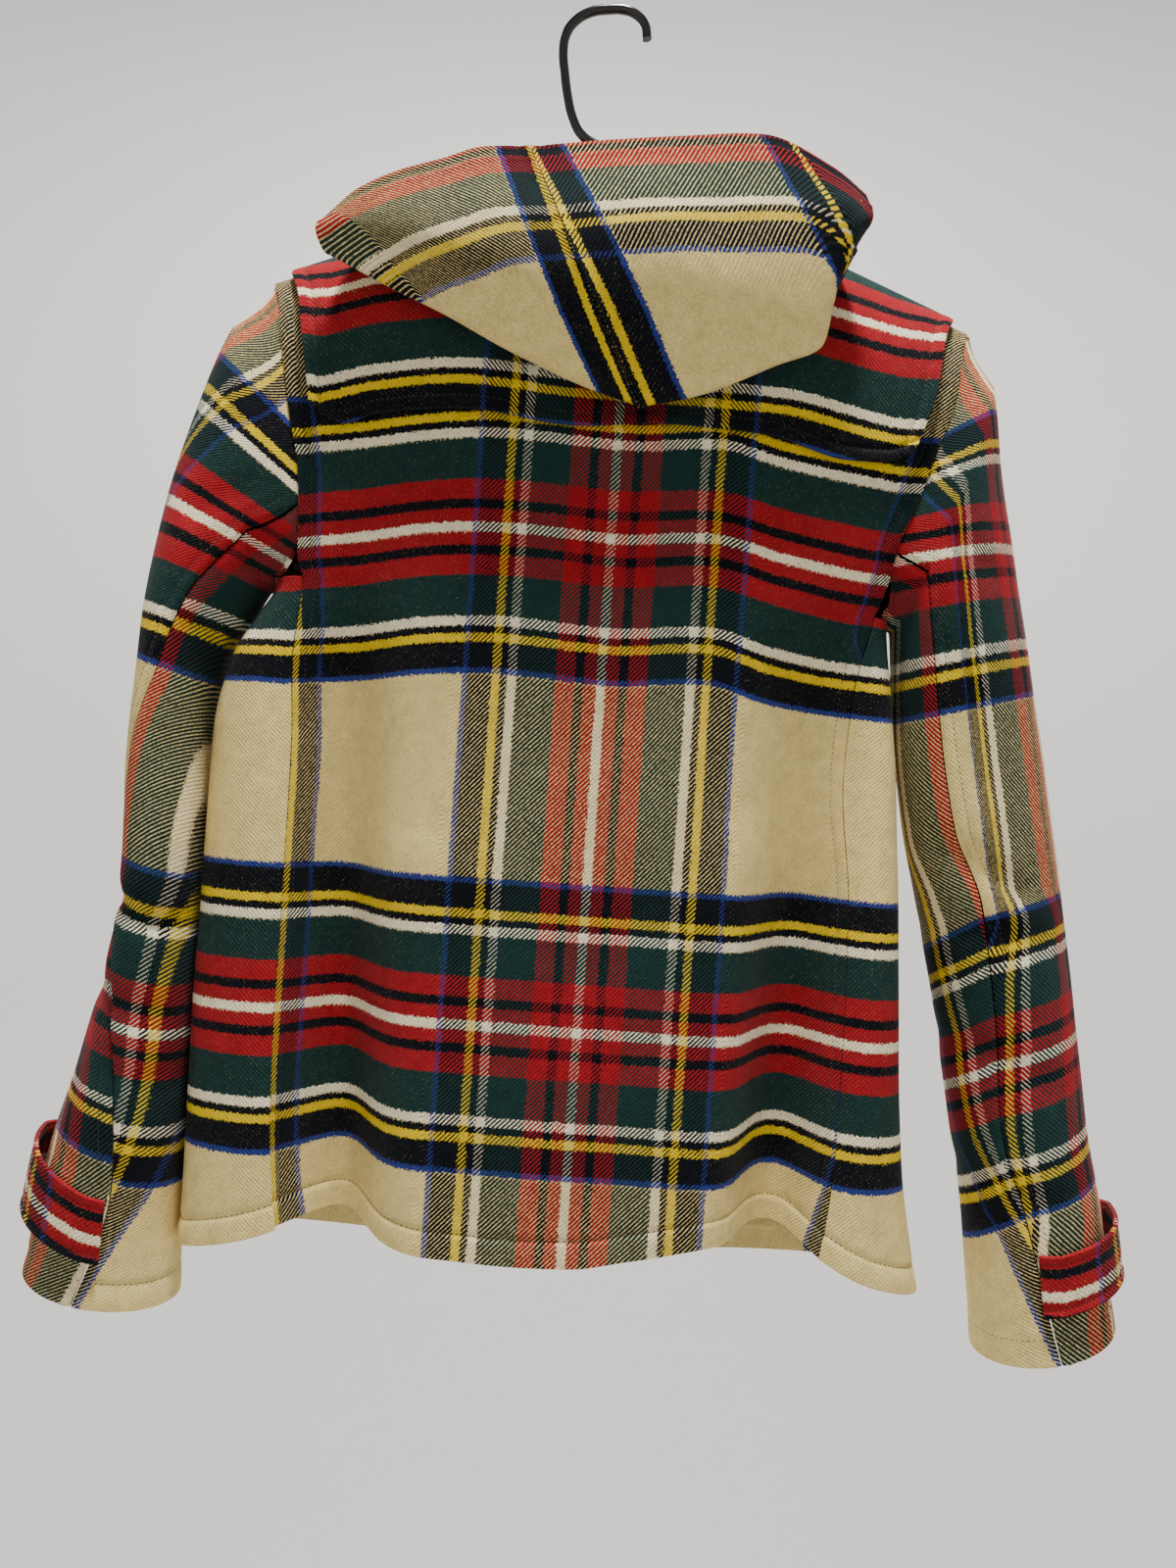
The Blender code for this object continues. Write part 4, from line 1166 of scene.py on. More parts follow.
def curve_through(points, at):
    """A smooth curve through points that are evenly spaced from 0 to 1."""
    keys = np.linspace(0, 1, len(points))
    at = np.asarray(at, float)
    padded = [2 * points[0] - points[1], *points, 2 * points[-1] - points[-2]]
    low = np.clip((at * (len(points) - 1)).astype(int), 0, len(points) - 2)
    t = ((at - keys[low]) * (len(points) - 1))[..., None]
    stack = np.stack(padded)
    before, here, there, after = (take_rows(stack, low + k) for k in range(4))
    return 0.5 * (
        2 * here
        + (there - before) * t
        + (2 * before - 5 * here + 4 * there - after) * t**2
        + (3 * here - before - 3 * there + after) * t**3
    )


def neck_seam(side, share):
    """Where the hood is sewn on, from the centre back to the centre front, and the way up from it."""

    def on_neck(at):
        angle = at * math.pi
        x = side * NECK_HALF * np.sin(angle)
        back = at < 0.5
        drop = np.where(back, neck_drop(x, NECK_BACK), neck_drop(x, NECK_FRONT))
        y = np.where(back, back_y(x, drop), front_y(x, drop))
        return cloth_point(x, y, drop)

    share = np.clip(share, 0, 1)
    point = on_neck(share)
    towards_axis = np.stack([-point[..., 0], -point[..., 1], np.zeros_like(share)], axis=-1)
    towards_axis /= np.linalg.norm(towards_axis, axis=-1, keepdims=True)
    return point + towards_axis * HOOD_SEAM_IN + np.array([0, 0, HOOD_SEAM_UP])


def hood_surface(side):
    """Half of the hood. u runs from its centre seam to its free edge, v from the neck to the face edge."""
    outer = HOOD_LEFT if side > 0 else HOOD_RIGHT

    def control(rows, name, u, mirrored):
        place = [looked_up(rows, f"{name}_{axis}", "share", u) for axis in "xyz"]
        if mirrored:
            place[0] = place[0] * (1 if side > 0 else -(1 - HOOD_RIGHT_NARROWS * u))
        return cloth_point(*place)

    def surface(u, v):
        seam = neck_seam(side, u / 0.8)
        leaves = np.clip((u - 0.8) / 0.2, 0, 1)[..., None]
        top_x, top_y, top_z = HOOD_FRONT_TOP
        front_top = cloth_point(side * top_x, top_y, top_z)
        controls = [seam + (front_top - seam) * leaves]
        controls += [control(HOOD_UNDER, name, u, True) for name in ("stand", "roll", "nape", "under")]
        controls += [control(outer, name, u, False) for name in ("fold", "mid", "edge")]
        points = curve_through(controls, v)
        points[..., 0] += side * HOOD_SEAM * (1 - u)
        return points

    return surface


print("the hood's neck seam starts at", np.round(neck_seam(1, np.array(0.0)), 1))

# %% The two halves
HOOD_STITCH = 9.0
# The stripe along the middle seam, and how much further out it lies at the bottom tip
HOOD_SEAM_STRIPE = 60.0
HOOD_TIP_STRIPE = 7
HOOD_TIP_LENGTH = 110
HOOD_LAST_STRIPE = {1: 206.0, -1: 236.0}
HOOD_EDGE_STRIPE = 9.0
HOOD_TROUGHS = (
    (14, 182, -70, 160, 6, 1.6),
    (-70, 160, -125, 150, 6, 1.4),
    (20, 165, 80, 172, 9, 1.4),
    (60, 205, 110, 190, 12, 1.6),
    (-40, 200, -95, 215, 14, 1.8),
    (5, 215, -10, 262, 5, 1.2),
)


def add_hood_half(side, name):
    across = shares(64, 190.0, start=(1.2, 3.0, 5.0, 8.0), end=(2, 5))
    down = shares(110, 420.0, start=(2, 5), end=beside(HOOD_STITCH))
    panel = Panel("hood_half_" + name, hood_surface(side), across, down, (0, 1, 0), lift=-CLOTH / 2)
    rise = hem_relief(panel.from_bottom, HOOD_STITCH, 0.7, 0.8)
    rise -= 1.2 * np.exp(-((panel.from_left / 2.2) ** 2))
    rise += 0.8 * np.exp(-(((panel.from_left - 6.0) / 3.0) ** 2))
    on_show = np.clip((panel.base[..., 1] - 60) / 10, 0, 1)
    rise -= soft_troughs(panel.base, HOOD_TROUGHS) * on_show
    rise += rumple(panel.base, 8.0 + side, 0.5)
    panel.rise = rise * np.clip(panel.from_top / 30, 0, 1)
    near_edge = np.clip(1 - panel.from_bottom / HOOD_TIP_LENGTH, 0, 1)
    across_cloth = HOOD_SEAM_STRIPE + HOOD_TIP_STRIPE * near_edge + panel.from_left * ACROSS_SCALE
    across_cloth = np.minimum(across_cloth, HOOD_LAST_STRIPE[side])
    panel.build(HOOD_EDGE_STRIPE + panel.from_bottom, across_cloth)
    finish_cloth(panel, "hood_" + name)
    return panel


hood_left = add_hood_half(1, "left")
hood_right = add_hood_half(-1, "right")

# %% [markdown]
# ## The sleeves
# Each sleeve has an upper and an under piece. The stripes across it lean where the sleeve turns over the
# shoulder, so a small table gives their slope. On the left one the cloth has slipped into a fold at the
# elbow, where the stripes step.

# %% The sleeves' tables
SLEEVE_COLUMNS = "outer_x outer_drop inner_x inner_drop half_deep mid_y back_seam"
SLEEVE_LEFT = table(
    SLEEVE_COLUMNS,
    (221, 190, 202, 380, 38, 5, 124),
    (242, 222, 210, 390, 43, 7, 116),
    (260, 276, 220, 409, 46, 9, 106),
    (273, 339, 232, 429, 49, 10, 99),
    (282, 413, 238, 461, 50, 11, 94),
    (285, 492, 240, 508, 50, 11, 82),
    (284, 561, 240, 562, 49, 11, 92),
    (291, 624, 240, 630, 48, 10, 102),
    (305, 687, 240, 703, 47, 9, 108),
    (322, 748, 239, 772, 46, 8, 104),
    (332, 824, 238, 840, 45, 8, 100),
)
SLEEVE_RIGHT = table(
    SLEEVE_COLUMNS,
    (228, 187, 184, 380, 38, 5, 126),
    (241, 226, 189, 387, 42, 6, 125),
    (250, 280, 191, 406, 43, 6, 125),
    (262, 336, 193, 433, 43, 6, 124),
    (279, 413, 198, 469, 42, 6, 124),
    (295, 488, 207, 517, 41, 6, 122),
    (308, 552, 217, 557, 40, 6, 110),
    (321, 625, 233, 621, 40, 6, 113),
    (333, 690, 248, 690, 42, 6, 121),
    (345, 744, 260, 748, 44, 7, 112),
    (357, 812, 273, 838, 44, 8, 95),
)
# Where the back seam shows on the left sleeve: it twists out to the silhouette above the elbow
SLEEVE_LEFT["back_seam"] = np.array((122, 127, 120, 111, 97, 57, 30, 60, 95, 108, 88), dtype=float)


def sleeve_value(rows, column, ring):
    return smooth(np.arange(len(rows[column]), dtype=float), rows[column], ring)


def sleeve_point(side, ring, angle):
    """A point of a sleeve's outer face. Angle 0 is its outer edge, 90 its back and 180 its inner edge."""
    rows = SLEEVE_LEFT if side > 0 else SLEEVE_RIGHT
    ring, angle = np.broadcast_arrays(np.asarray(ring, float), np.radians(angle))
    value = {column: sleeve_value(rows, column, ring) for column in rows}
    share = (1 - np.cos(angle)) / 2
    x = between(value["outer_x"], value["inner_x"], share)
    drop = between(value["outer_drop"], value["inner_drop"], share)
    y = value["mid_y"] + value["half_deep"] * np.sin(angle)
    first_drop = between(rows["outer_drop"][0], rows["inner_drop"][0], share)
    first_x = side * armhole_x(side, first_drop) + ARMHOLE_GAP + ARMHOLE_TIP_GAP * (1 - share) ** 2
    lowered = np.maximum(first_drop, ridge(first_x) + SLEEVE_HEAD_DROP) - first_drop
    first_drop = first_drop + lowered
    on_back = back_y(side * first_x, first_drop)
    on_front = front_y(side * first_x, first_drop)
    first_y = np.where(np.sin(angle) >= 0, on_back, on_front)
    blend = np.clip(ring, 0, 1)
    x = between(first_x, x, blend)
    y = between(first_y, y, blend)
    drop = drop + lowered * (1 - blend)
    return cloth_point(side * x, y, drop)


def sleeve_surface(side, start, end):
    """Part of a sleeve, between two seams whose angles are functions of the ring."""
    rings = len(SLEEVE_LEFT["outer_x"]) - 1

    def surface(u, v):
        ring = v * rings
        return sleeve_point(side, ring, between(start(ring), end(ring), u))

    return surface


# A row for each height at the sleeve's outer edge: how much the stripes fall for each mm inwards
SLOPE_LEFT = table("drop slope", (200, 0.95), (260, 0.8), (341, 0.45), (400, 0.3), (600, 0.3), (850, 0.35))
SLOPE_RIGHT = table("drop slope", (200, 0.9), (258, 0.5), (332, 0.18), (400, 0.27), (625, 0.36), (850, 0.5))
# A row for each ring: which stripe lies at the back seam, on the upper and on the under piece
SEAM_LEFT = table(
    "ring top under",
    (0, 155, 16), (2, 150, 17), (3, 150, 18), (4, 155, 19), (5, 145, 19), (6, 120, 19), (7, 111, 34),
    (7.7, 113, 45), (8, 114, 49), (8.8, 119, 64), (9.4, 123, 78), (10, 126, 84),
)
SEAM_RIGHT = table(
    "ring top under",
    (0, 118, 16), (3, 110, 18), (5, 110, 21), (5.8, 108, 24), (6.5, 80, 30), (7.2, 75, 38),
    (8, 73, 46), (8.8, 70, 58), (9.2, 62, 70), (10, 48, 86),
)
# A row for each angle round the right sleeve: which stripe lies there on its upper piece above the elbow
RIDGE_RIGHT = table(
    "angle stripe", (-180, -150), (0, -26), (30, 2), (60, 29), (85, 56.5), (93, 67), (102, 89), (124, 112)
)
# A row for each height at the outer edge: where the cloth lies, for its slack and its fold
DOWN_LEFT_TOP = table(
    "drop cloth",
    (190, -140), (265, -67), (277, -56.5), (308, -29), (339, 0), (375, 29), (405, 56.5), (436, 87),
    (573, 209), (611, 243), (638, 272), (673, 301), (705, 339), (730, 361), (850, 481),
)
DOWN_LEFT_UNDER = table(
    "drop cloth",
    (190, -140), (336, 0), (395, 56.5), (436, 87), (557, 209), (595, 241.5), (625, 269), (654, 298),
    (680, 327), (720, 365), (741, 387), (850, 496),
)
RIGHT_GROUP_DROP = 333.0
print("stripes on the right sleeve start", RIGHT_GROUP_DROP, "mm below the hook")

# %% Where the stripes fall on a sleeve
def sleeve_cloth_down(panel, side, label):
    rows = SLEEVE_LEFT if side > 0 else SLEEVE_RIGHT
    slopes = SLOPE_LEFT if side > 0 else SLOPE_RIGHT
    x, drop = np.abs(panel.base[..., 0]), -panel.base[..., 2]
    at_edge = drop.copy()
    for _ in range(4):
        edge_x = smooth(rows["outer_drop"], rows["outer_x"], at_edge)
        at_edge = drop - looked_up(slopes, "slope", "drop", at_edge) * np.maximum(edge_x - x, 0)
    if side < 0:
        under = 0.0 if label == "top" else np.clip((at_edge - 430) / 100, 0, 1) * 0.3
        return at_edge - RIGHT_GROUP_DROP - under * panel.from_left
    return looked_up(DOWN_LEFT_TOP if label == "top" else DOWN_LEFT_UNDER, "cloth", "drop", at_edge)


def right_ridge(ring, seam_angle, shares_across, natural):
    """The upper right sleeve turns sharply along a ridge, which hides most of one black stripe."""
    angle = between(FRONT_SEAM, seam_angle[:, None], shares_across[None, :])
    stripe = looked_up(RIDGE_RIGHT, "stripe", "angle", angle)
    above = np.clip((6.6 - ring) / 0.8, 0, 1)[:, None]
    return stripe * above + natural * (1 - above)


TROUGHS_LEFT = (
    # x, drop, x, drop, width, depth
    (300, 575, 250, 600, 7, 4.0),
    (292, 640, 255, 655, 9, 2.2),
    (246, 420, 262, 560, 10, 1.5),
    (250, 700, 275, 690, 10, 1.5),
    (270, 760, 300, 745, 10, 1.5),
    (215, 330, 245, 350, 9, 1.8),
)
TROUGHS_RIGHT = (
    (-225, 520, -270, 545, 9, 2.4),
    (-232, 570, -285, 575, 9, 2.0),
    (-245, 640, -290, 660, 10, 2.0),
    (-262, 720, -300, 735, 10, 1.8),
    (-215, 400, -240, 480, 10, 1.6),
    (-205, 330, -235, 350, 9, 1.6),
)
print(len(TROUGHS_LEFT), "troughs on the left sleeve")

# %% The upper and the under pieces
CUFF_STITCH = 16.0
ELBOW_RING = 6.2
ELBOW_STEP = (-66.0, 26.0)
BELOW_ELBOW_RING = 6.9
SLEEVE_SEAM_STITCH = 8.5


def add_sleeve(side, name):
    rows = SLEEVE_LEFT if side > 0 else SLEEVE_RIGHT
    stripes_at = SEAM_LEFT if side > 0 else SEAM_RIGHT
    rings = len(rows["outer_x"]) - 1

    def back_seam(ring):
        return sleeve_value(rows, "back_seam", ring)

    top_shape = sleeve_surface(
        side,
        lambda ring: FRONT_SEAM + SLEEVE_SEAM_ANGLE + 0 * ring,
        lambda ring: back_seam(ring) - SLEEVE_SEAM_ANGLE,
    )
    under_shape = sleeve_surface(
        side,
        lambda ring: back_seam(ring) + SLEEVE_SEAM_ANGLE,
        lambda ring: 360 + FRONT_SEAM - SLEEVE_SEAM_ANGLE + 0 * ring,
    )
    down = shares(140, 640.0, start=(1.5, 4, 7), end=beside(CUFF_STITCH))
    ring = down * rings
    made = []
    for label, shape, outward, count, width in (
        ("top", top_shape, (side, 0, 0), 70, 190.0),
        ("under", under_shape, (-side, 0, 0), 40, 90.0),
    ):
        near_seam = (1.2, 3.0, 5.0, 7.0, 8.5, 10.0, 13.0)
        sides = {"end": near_seam} if label == "top" else {"start": near_seam}
        panel = Panel(f"sleeve_{name}_{label}", shape, shares(count, width, **sides), down, outward)
        from_seam = panel.from_right if label == "top" else panel.from_left
        rise = hem_relief(panel.from_bottom, CUFF_STITCH) + rumple(panel.base, 11.0 + side, 0.5)
        rise -= 0.9 * np.exp(-((from_seam / 1.6) ** 2))
        if label == "top":
            rise += hem_relief(from_seam, SLEEVE_SEAM_STITCH, 0.3, 0.6)
        if side > 0 and label == "top":
            below_elbow = np.exp(-(((ring - BELOW_ELBOW_RING) / 0.9) ** 2))[:, None]
            rise -= 4.0 * below_elbow * np.exp(-((from_seam / 14) ** 2))
        towards_back = np.clip((panel.base[..., 1] + 40) / 30, 0.4, 1)
        rise -= soft_troughs(panel.base, TROUGHS_LEFT if side > 0 else TROUGHS_RIGHT) * towards_back
        sunk_head = 0.8 * np.exp(-((panel.from_top / 3.0) ** 2))
        panel.rise = rise * np.clip(panel.from_top / 12, 0, 1) - sunk_head
        seam_stripe = smooth(stripes_at["ring"], stripes_at[label], ring)[:, None]
        way = -1 if label == "top" else 1
        across_cloth = seam_stripe + way * from_seam * ACROSS_SCALE
        if label == "under" and side > 0:
            flat = panel.base.copy()
            flat[..., 1] = 0
            across_cloth = seam_stripe + grid_lengths(flat)[0] * ACROSS_SCALE
        down_cloth = sleeve_cloth_down(panel, side, label)
        if side < 0 and label == "top":
            across_cloth = right_ridge(ring, back_seam(ring), panel.across, across_cloth)
        if side > 0 and label == "top":
            fold_row = int(np.searchsorted(ring, ELBOW_RING))
            panel.build(across_cloth, down_cloth, fold_row, ELBOW_STEP)
        else:
            panel.build(across_cloth, down_cloth)
        finish_cloth(panel, f"sleeve_{label}_{name}")
        made.append(panel)
    return made


sleeve_left = add_sleeve(1, "left")
sleeve_right = add_sleeve(-1, "right")

# %% [markdown]
# ## The cuff straps
# A strap is sewn into each back seam and goes round the outside of the cuff to a button on the hidden side.
# It is stitched 5 mm inside its edges, and its stripes run along it.

# %% The straps
STRAP_LEFT = {"upper": (8.85, 9.05), "lower": (9.45, 9.6)}
STRAP_RIGHT = {"upper": (8.95, 9.2), "lower": (9.5, 9.65)}
STRAP_FRONT = -75.0
STRAP_STANDS_OFF = 6.0
STRAP_CLOTH = 2.6
STRAP_LIFT = 0.8


def strap_shape(side):
    strap = STRAP_LEFT if side > 0 else STRAP_RIGHT
    rows = SLEEVE_LEFT if side > 0 else SLEEVE_RIGHT

    def surface(u, v):
        seam_ring = strap["upper"][1]
        angle = between(STRAP_FRONT, sleeve_value(rows, "back_seam", seam_ring) - 3, u)
        outside = np.clip(np.abs(angle) / 90, 0, 1)
        upper = between(strap["upper"][0], strap["upper"][1], outside)
        lower = between(strap["lower"][0], strap["lower"][1], outside)
        ring = between(upper, lower, v)
        point = sleeve_point(side, ring, angle)
        stand = STRAP_STANDS_OFF * np.cos(np.radians(angle) * 0.95).clip(0, 1) ** 1.5
        middle = (sleeve_point(side, ring, 0) + sleeve_point(side, ring, 180)) / 2
        away = point - middle
        away /= np.linalg.norm(away, axis=-1, keepdims=True)
        return point + away * stand[..., None]

    return surface


STRAP_STITCH = 5.0
STRAP_SEAM_STRIPE = 125.0
STRAP_EDGE_STRIPE = -25.0


def add_strap(side, name):
    columns = shares(70, 150.0, start=beside(STRAP_STITCH)[1:])
    rows = shares(10, 34.0, start=beside(STRAP_STITCH)[:-1], end=beside(STRAP_STITCH)[:-1])
    shape = strap_shape(side)
    panel = Panel("strap_" + name, shape, columns, rows, (side, 0, 0), STRAP_LIFT, STRAP_CLOTH)
    panel.rise = panel.stitched(("top", "bottom", "left"), STRAP_STITCH, 0.5, 0.7)
    across = STRAP_SEAM_STRIPE - panel.from_right * ACROSS_SCALE
    panel.build(across, panel.from_top + STRAP_EDGE_STRIPE)
    finish_cloth(panel, "cuff_strap_" + name)
    return panel


strap_left = add_strap(1, "left")
strap_right = add_strap(-1, "right")

# %% [markdown]
# ## Topstitching
# Every hem and edge is stitched through, and the stitches sink into the wool as a fine dark line. A line of
# them is laid at a set distance from a panel's edge, on its outer face. Each stitch is a small lozenge, and
# all the stitches of one panel are one mesh made from arrays.

# %% A stitch and its thread
STITCH_LONG = 2.5
STITCH_WIDE = 0.75
STITCH_STEP = 3.4
LOZENGE = np.array(((-0.5, 0, 0), (0.5, 0, 0), (0, 0.5, 0), (0, -0.5, 0), (0, 0, 0.45), (0, 0, -0.45)))
LOZENGE_FACES = np.array(
    ((0, 2, 4), (2, 1, 4), (1, 3, 4), (3, 0, 4), (2, 0, 5), (1, 2, 5), (3, 1, 5), (0, 3, 5))
)


def thread_finish():
    finish = Finish("thread", 0.7)
    finish.shader.inputs["Base Color"].default_value = (0.045, 0.036, 0.03, 1)
    return finish.made


THREAD = thread_finish()


def lozenges(centres, along, up, sizes):
    """The corners and faces of one lozenge for each centre, its length along one direction."""
    side = np.cross(up, along)
    side /= np.linalg.norm(side, axis=-1, keepdims=True)
    long_side, wide = sizes
    corners = (
        centres[:, None]
        + LOZENGE[None, :, :1] * long_side * along[:, None]
        + LOZENGE[None, :, 1:2] * wide * side[:, None]
        + LOZENGE[None, :, 2:] * wide * up[:, None]
    )
    faces = LOZENGE_FACES[None] + 6 * np.arange(len(centres))[:, None, None]
    return corners.reshape(-1, 3), faces.reshape(-1, 3)


def joined(name, parts, material):
    """One mesh from several lists of corners and faces."""
    corners, faces, count = [], [], 0
    for part_corners, part_faces in parts:
        corners.append(part_corners)
        faces.append(part_faces + count)
        count += len(part_corners)
    data = bpy.data.meshes.new(name)
    data.from_pydata(np.concatenate(corners), [], np.concatenate(faces).tolist())
    data.materials.append(material)
    piece = add_object(name, data)
    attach(piece, "root")
    return piece


print("a stitch is", STITCH_LONG, "mm long, one every", STITCH_STEP, "mm")

# %% Lines of stitches on the panels
def line_on(panel, edge, distance, start=0.0, end=1.0):
    """Points and directions out of the cloth, on a line at a distance from one edge of a panel."""
    outer = panel.outer()
    measure = getattr(panel, "from_" + edge)
    normals = panel.normals
    if edge in ("top", "bottom"):
        outer, measure, normals = outer.swapaxes(0, 1), measure.T, normals.swapaxes(0, 1)
    points, ups = [], []
    first, last = int(start * (len(outer) - 1)), int(end * (len(outer) - 1))
    for row in range(first, last + 1):
        order = np.argsort(measure[row])
        if measure[row].max() < distance:
            continue
        stack = np.concatenate([outer[row], normals[row]], axis=1)[order]
        found = [np.interp(distance, measure[row][order], column) for column in stack.T]
        points.append(found[:3])
        ups.append(found[3:])
    return np.array(points), np.array(ups)


def stitches_along(points, ups, sink):
    """Even stitches along a line."""
    run = np.concatenate([[0], np.cumsum(np.linalg.norm(np.diff(points, axis=0), axis=1))])
    places = np.arange(STITCH_STEP / 2, run[-1], STITCH_STEP)

    def read(rows, at):
        return np.stack([np.interp(at, run, column) for column in rows.T], axis=1)

    along = read(points, places + 1.0) - read(points, places - 1.0)
    along /= np.maximum(np.linalg.norm(along, axis=1, keepdims=True), 1e-6)
    up = read(ups, places)
    up /= np.linalg.norm(up, axis=1, keepdims=True)
    centres = read(points, places) - up * sink
    corners, faces = lozenges(centres, along, up, (STITCH_LONG, STITCH_WIDE))
    return hung(corners), faces


def stitch_panel(panel, lines):
    """All the stitching of one panel. A line is an edge, a distance from it and where it starts and ends."""
    parts = [stitches_along(*line_on(panel, *line), 0.05) for line in lines]
    piece = joined("stitches_" + panel.name, parts, THREAD)
    print(piece.name, sum(len(faces) for _, faces in parts) // 8, "stitches")


HEM_LINE = ("bottom", HEM_STITCH)
CUFF_LINE = ("bottom", CUFF_STITCH)
HOOD_LINES = (("bottom", HOOD_STITCH),)
POCKET_LINES = (("top", POCKET_HEM), ("left", POCKET_STITCH), ("bottom", POCKET_STITCH))
CAPE_BACK_LINES = (
    ("bottom", YOKE_STITCH, 0.02, 0.98),
    ("left", YOKE_STITCH, 0, 0.95),
    ("right", YOKE_STITCH, 0, 0.95),
)
CAPE_FRONT_LINES = (
    ("bottom", YOKE_STITCH, 0.06, 0.96),
    ("left", YOKE_STITCH, 0.1, 0.94),
    ("right", YOKE_STITCH, 0, 0.94),
)
SLEEVE_TOP_LINES = (CUFF_LINE, ("right", SLEEVE_SEAM_STITCH, 0.03, 1.0))
STRAP_LINES = (("top", STRAP_STITCH), ("bottom", STRAP_STITCH), ("left", STRAP_STITCH, 0.2, 0.8))
SEWING = (
    (back, (HEM_LINE, ("left", SEAM_STITCH), ("right", SEAM_STITCH))),
    (side_back_left, (HEM_LINE,)),
    (side_back_right, (HEM_LINE,)),
    (front_left, (HEM_LINE,)),
    (front_right, (HEM_LINE, ("left", SEAM_STITCH, 0.12, 1.0))),
    (pocket_left, POCKET_LINES),
    (pocket_right, POCKET_LINES),
    (cape_back, CAPE_BACK_LINES),
    (cape_front_left, CAPE_FRONT_LINES),
    (cape_front_right, CAPE_FRONT_LINES),
    (hood_left, HOOD_LINES),
    (hood_right, HOOD_LINES),
    (sleeve_left[0], SLEEVE_TOP_LINES),
    (sleeve_left[1], (CUFF_LINE,)),
    (sleeve_right[0], SLEEVE_TOP_LINES),
    (sleeve_right[1], (CUFF_LINE,)),
    (strap_left, STRAP_LINES),
    (strap_right, STRAP_LINES),
)
for panel, lines in SEWING:
    stitch_panel(panel, lines)

# %% [markdown]
# ## The fastenings
# The front is hidden in the photo, so it has the coat's usual fastening, plainly: three wooden toggles in
# black cord loops, each end held by a stitched leather patch. Each strap ends at a horn-like button.

# %% Their materials
def wood_finish():
    finish = Finish("toggle_wood", 0.35)
    place = finish.place()
    settings = {"operation": "MULTIPLY"}
    stretched = finish.node("ShaderNodeVectorMath", settings, {0: place, 1: (30, 420, 420)})
    grain = finish.noise(stretched, 1.0, 3.0)
    finish.colour(finish.ramp(grain, ((0.35, (0.045, 0.018, 0.008, 1)), (0.65, (0.16, 0.07, 0.03, 1)))))
    finish.bump(grain, 0.0002, 0.5)
    finish.shader.inputs["Coat Weight"].default_value = 0.4
    return finish.made


def cord_finish():
    finish = Finish("cord", 0.75)
    parts = finish.node("ShaderNodeSeparateXYZ", {}, [finish.place()])
    lean = Wire(finish, parts.socket.node.outputs[0]) + Wire(finish, parts.socket.node.outputs[2])
    strands = (lean * 2600).sine()
    darks, lights = (0.006, 0.006, 0.007, 1), (0.035, 0.034, 0.034, 1)
    finish.colour(finish.ramp(strands * 0.5 + 0.5, ((0.0, darks), (1.0, lights))))
    finish.bump(strands, 0.0003, 0.9)
    return finish.made


def leather_finish():
    finish = Finish("patch_leather", 0.5)
    grain = finish.noise(finish.place(), 900.0, 4.0)
    finish.colour(finish.ramp(grain, ((0.3, (0.008, 0.007, 0.007, 1)), (0.75, (0.04, 0.034, 0.03, 1)))))
    finish.bump(grain, 0.0004, 0.6)
    return finish.made


def horn_finish():
    finish = Finish("button_horn", 0.25)
    clouds = finish.noise(finish.place(), 160.0, 3.0)
    finish.colour(finish.ramp(clouds, ((0.35, (0.02, 0.010, 0.006, 1)), (0.7, (0.13, 0.065, 0.03, 1)))))
    finish.shader.inputs["Coat Weight"].default_value = 0.3
    return finish.made


def hanger_finish():
    finish = Finish("hanger_plastic", 0.16)
    finish.shader.inputs["Base Color"].default_value = (0.008, 0.008, 0.009, 1)
    return finish.made


WOOD = wood_finish()
CORD = cord_finish()
LEATHER = leather_finish()
HORN = horn_finish()
PLASTIC = hanger_finish()
print("five hard finishes")

# %% Tubes and patches
TOGGLE_DROPS = (292.0, 412.0, 532.0)
TOGGLE_X = 8.0
TOGGLE_LENGTH = 48.0
TOGGLE_RADIUS = 6.5
TOGGLE_WAIST = 4.2
CORD_RADIUS = 1.8
PATCH_SIZE = (56.0, 34.0, 1.6)
RIGHT_PATCH_X = -52.0
LEFT_PATCH_X = 80.0


def smooth_tube(name, points, radius, cyclic=False):
    """A smooth round tube through points of the coat, as a mesh."""
    data = bpy.data.curves.new(name, "CURVE")
    data.dimensions = "3D"
    data.bevel_depth = radius * MM
    data.bevel_resolution = 5
    data.resolution_u = 5
    data.use_fill_caps = not cyclic
    spline = data.splines.new("BEZIER")
    spline.bezier_points.add(len(points) - 1)
    spline.use_cyclic_u = cyclic
    for place, point in zip(spline.bezier_points, hung(np.array(points, dtype=float))):
        place.co = point
        place.handle_left_type = place.handle_right_type = "AUTO"
    line = add_object(name, data)
    graph = bpy.context.evaluated_depsgraph_get()
    made = bpy.data.meshes.new_from_object(line.evaluated_get(graph))
    bpy.data.objects.remove(line)
    made.name = name
    made.shade_smooth()
    return made


def hard_piece(name, data, material, node):
    data.materials.clear()
    data.materials.append(material)
    piece = add_object(name, data)
    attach(piece, "root")
    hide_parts(node)
    return piece


def placed_on_coat(name, mesh, place, sharp):
    """A small form's mesh, moved to its place on the hanging coat."""
    data = bpy.data.meshes.new(name)
    mesh.to_mesh(data)
    mesh.free()
    co = np.empty(len(data.vertices) * 3)
    data.vertices.foreach_get("co", co)
    data.vertices.foreach_set("co", hung(co.reshape(-1, 3) + np.array(place)).ravel())
    data.update()
    data.shade_smooth()
    data.set_sharp_from_angle(angle=math.radians(sharp))
    return data


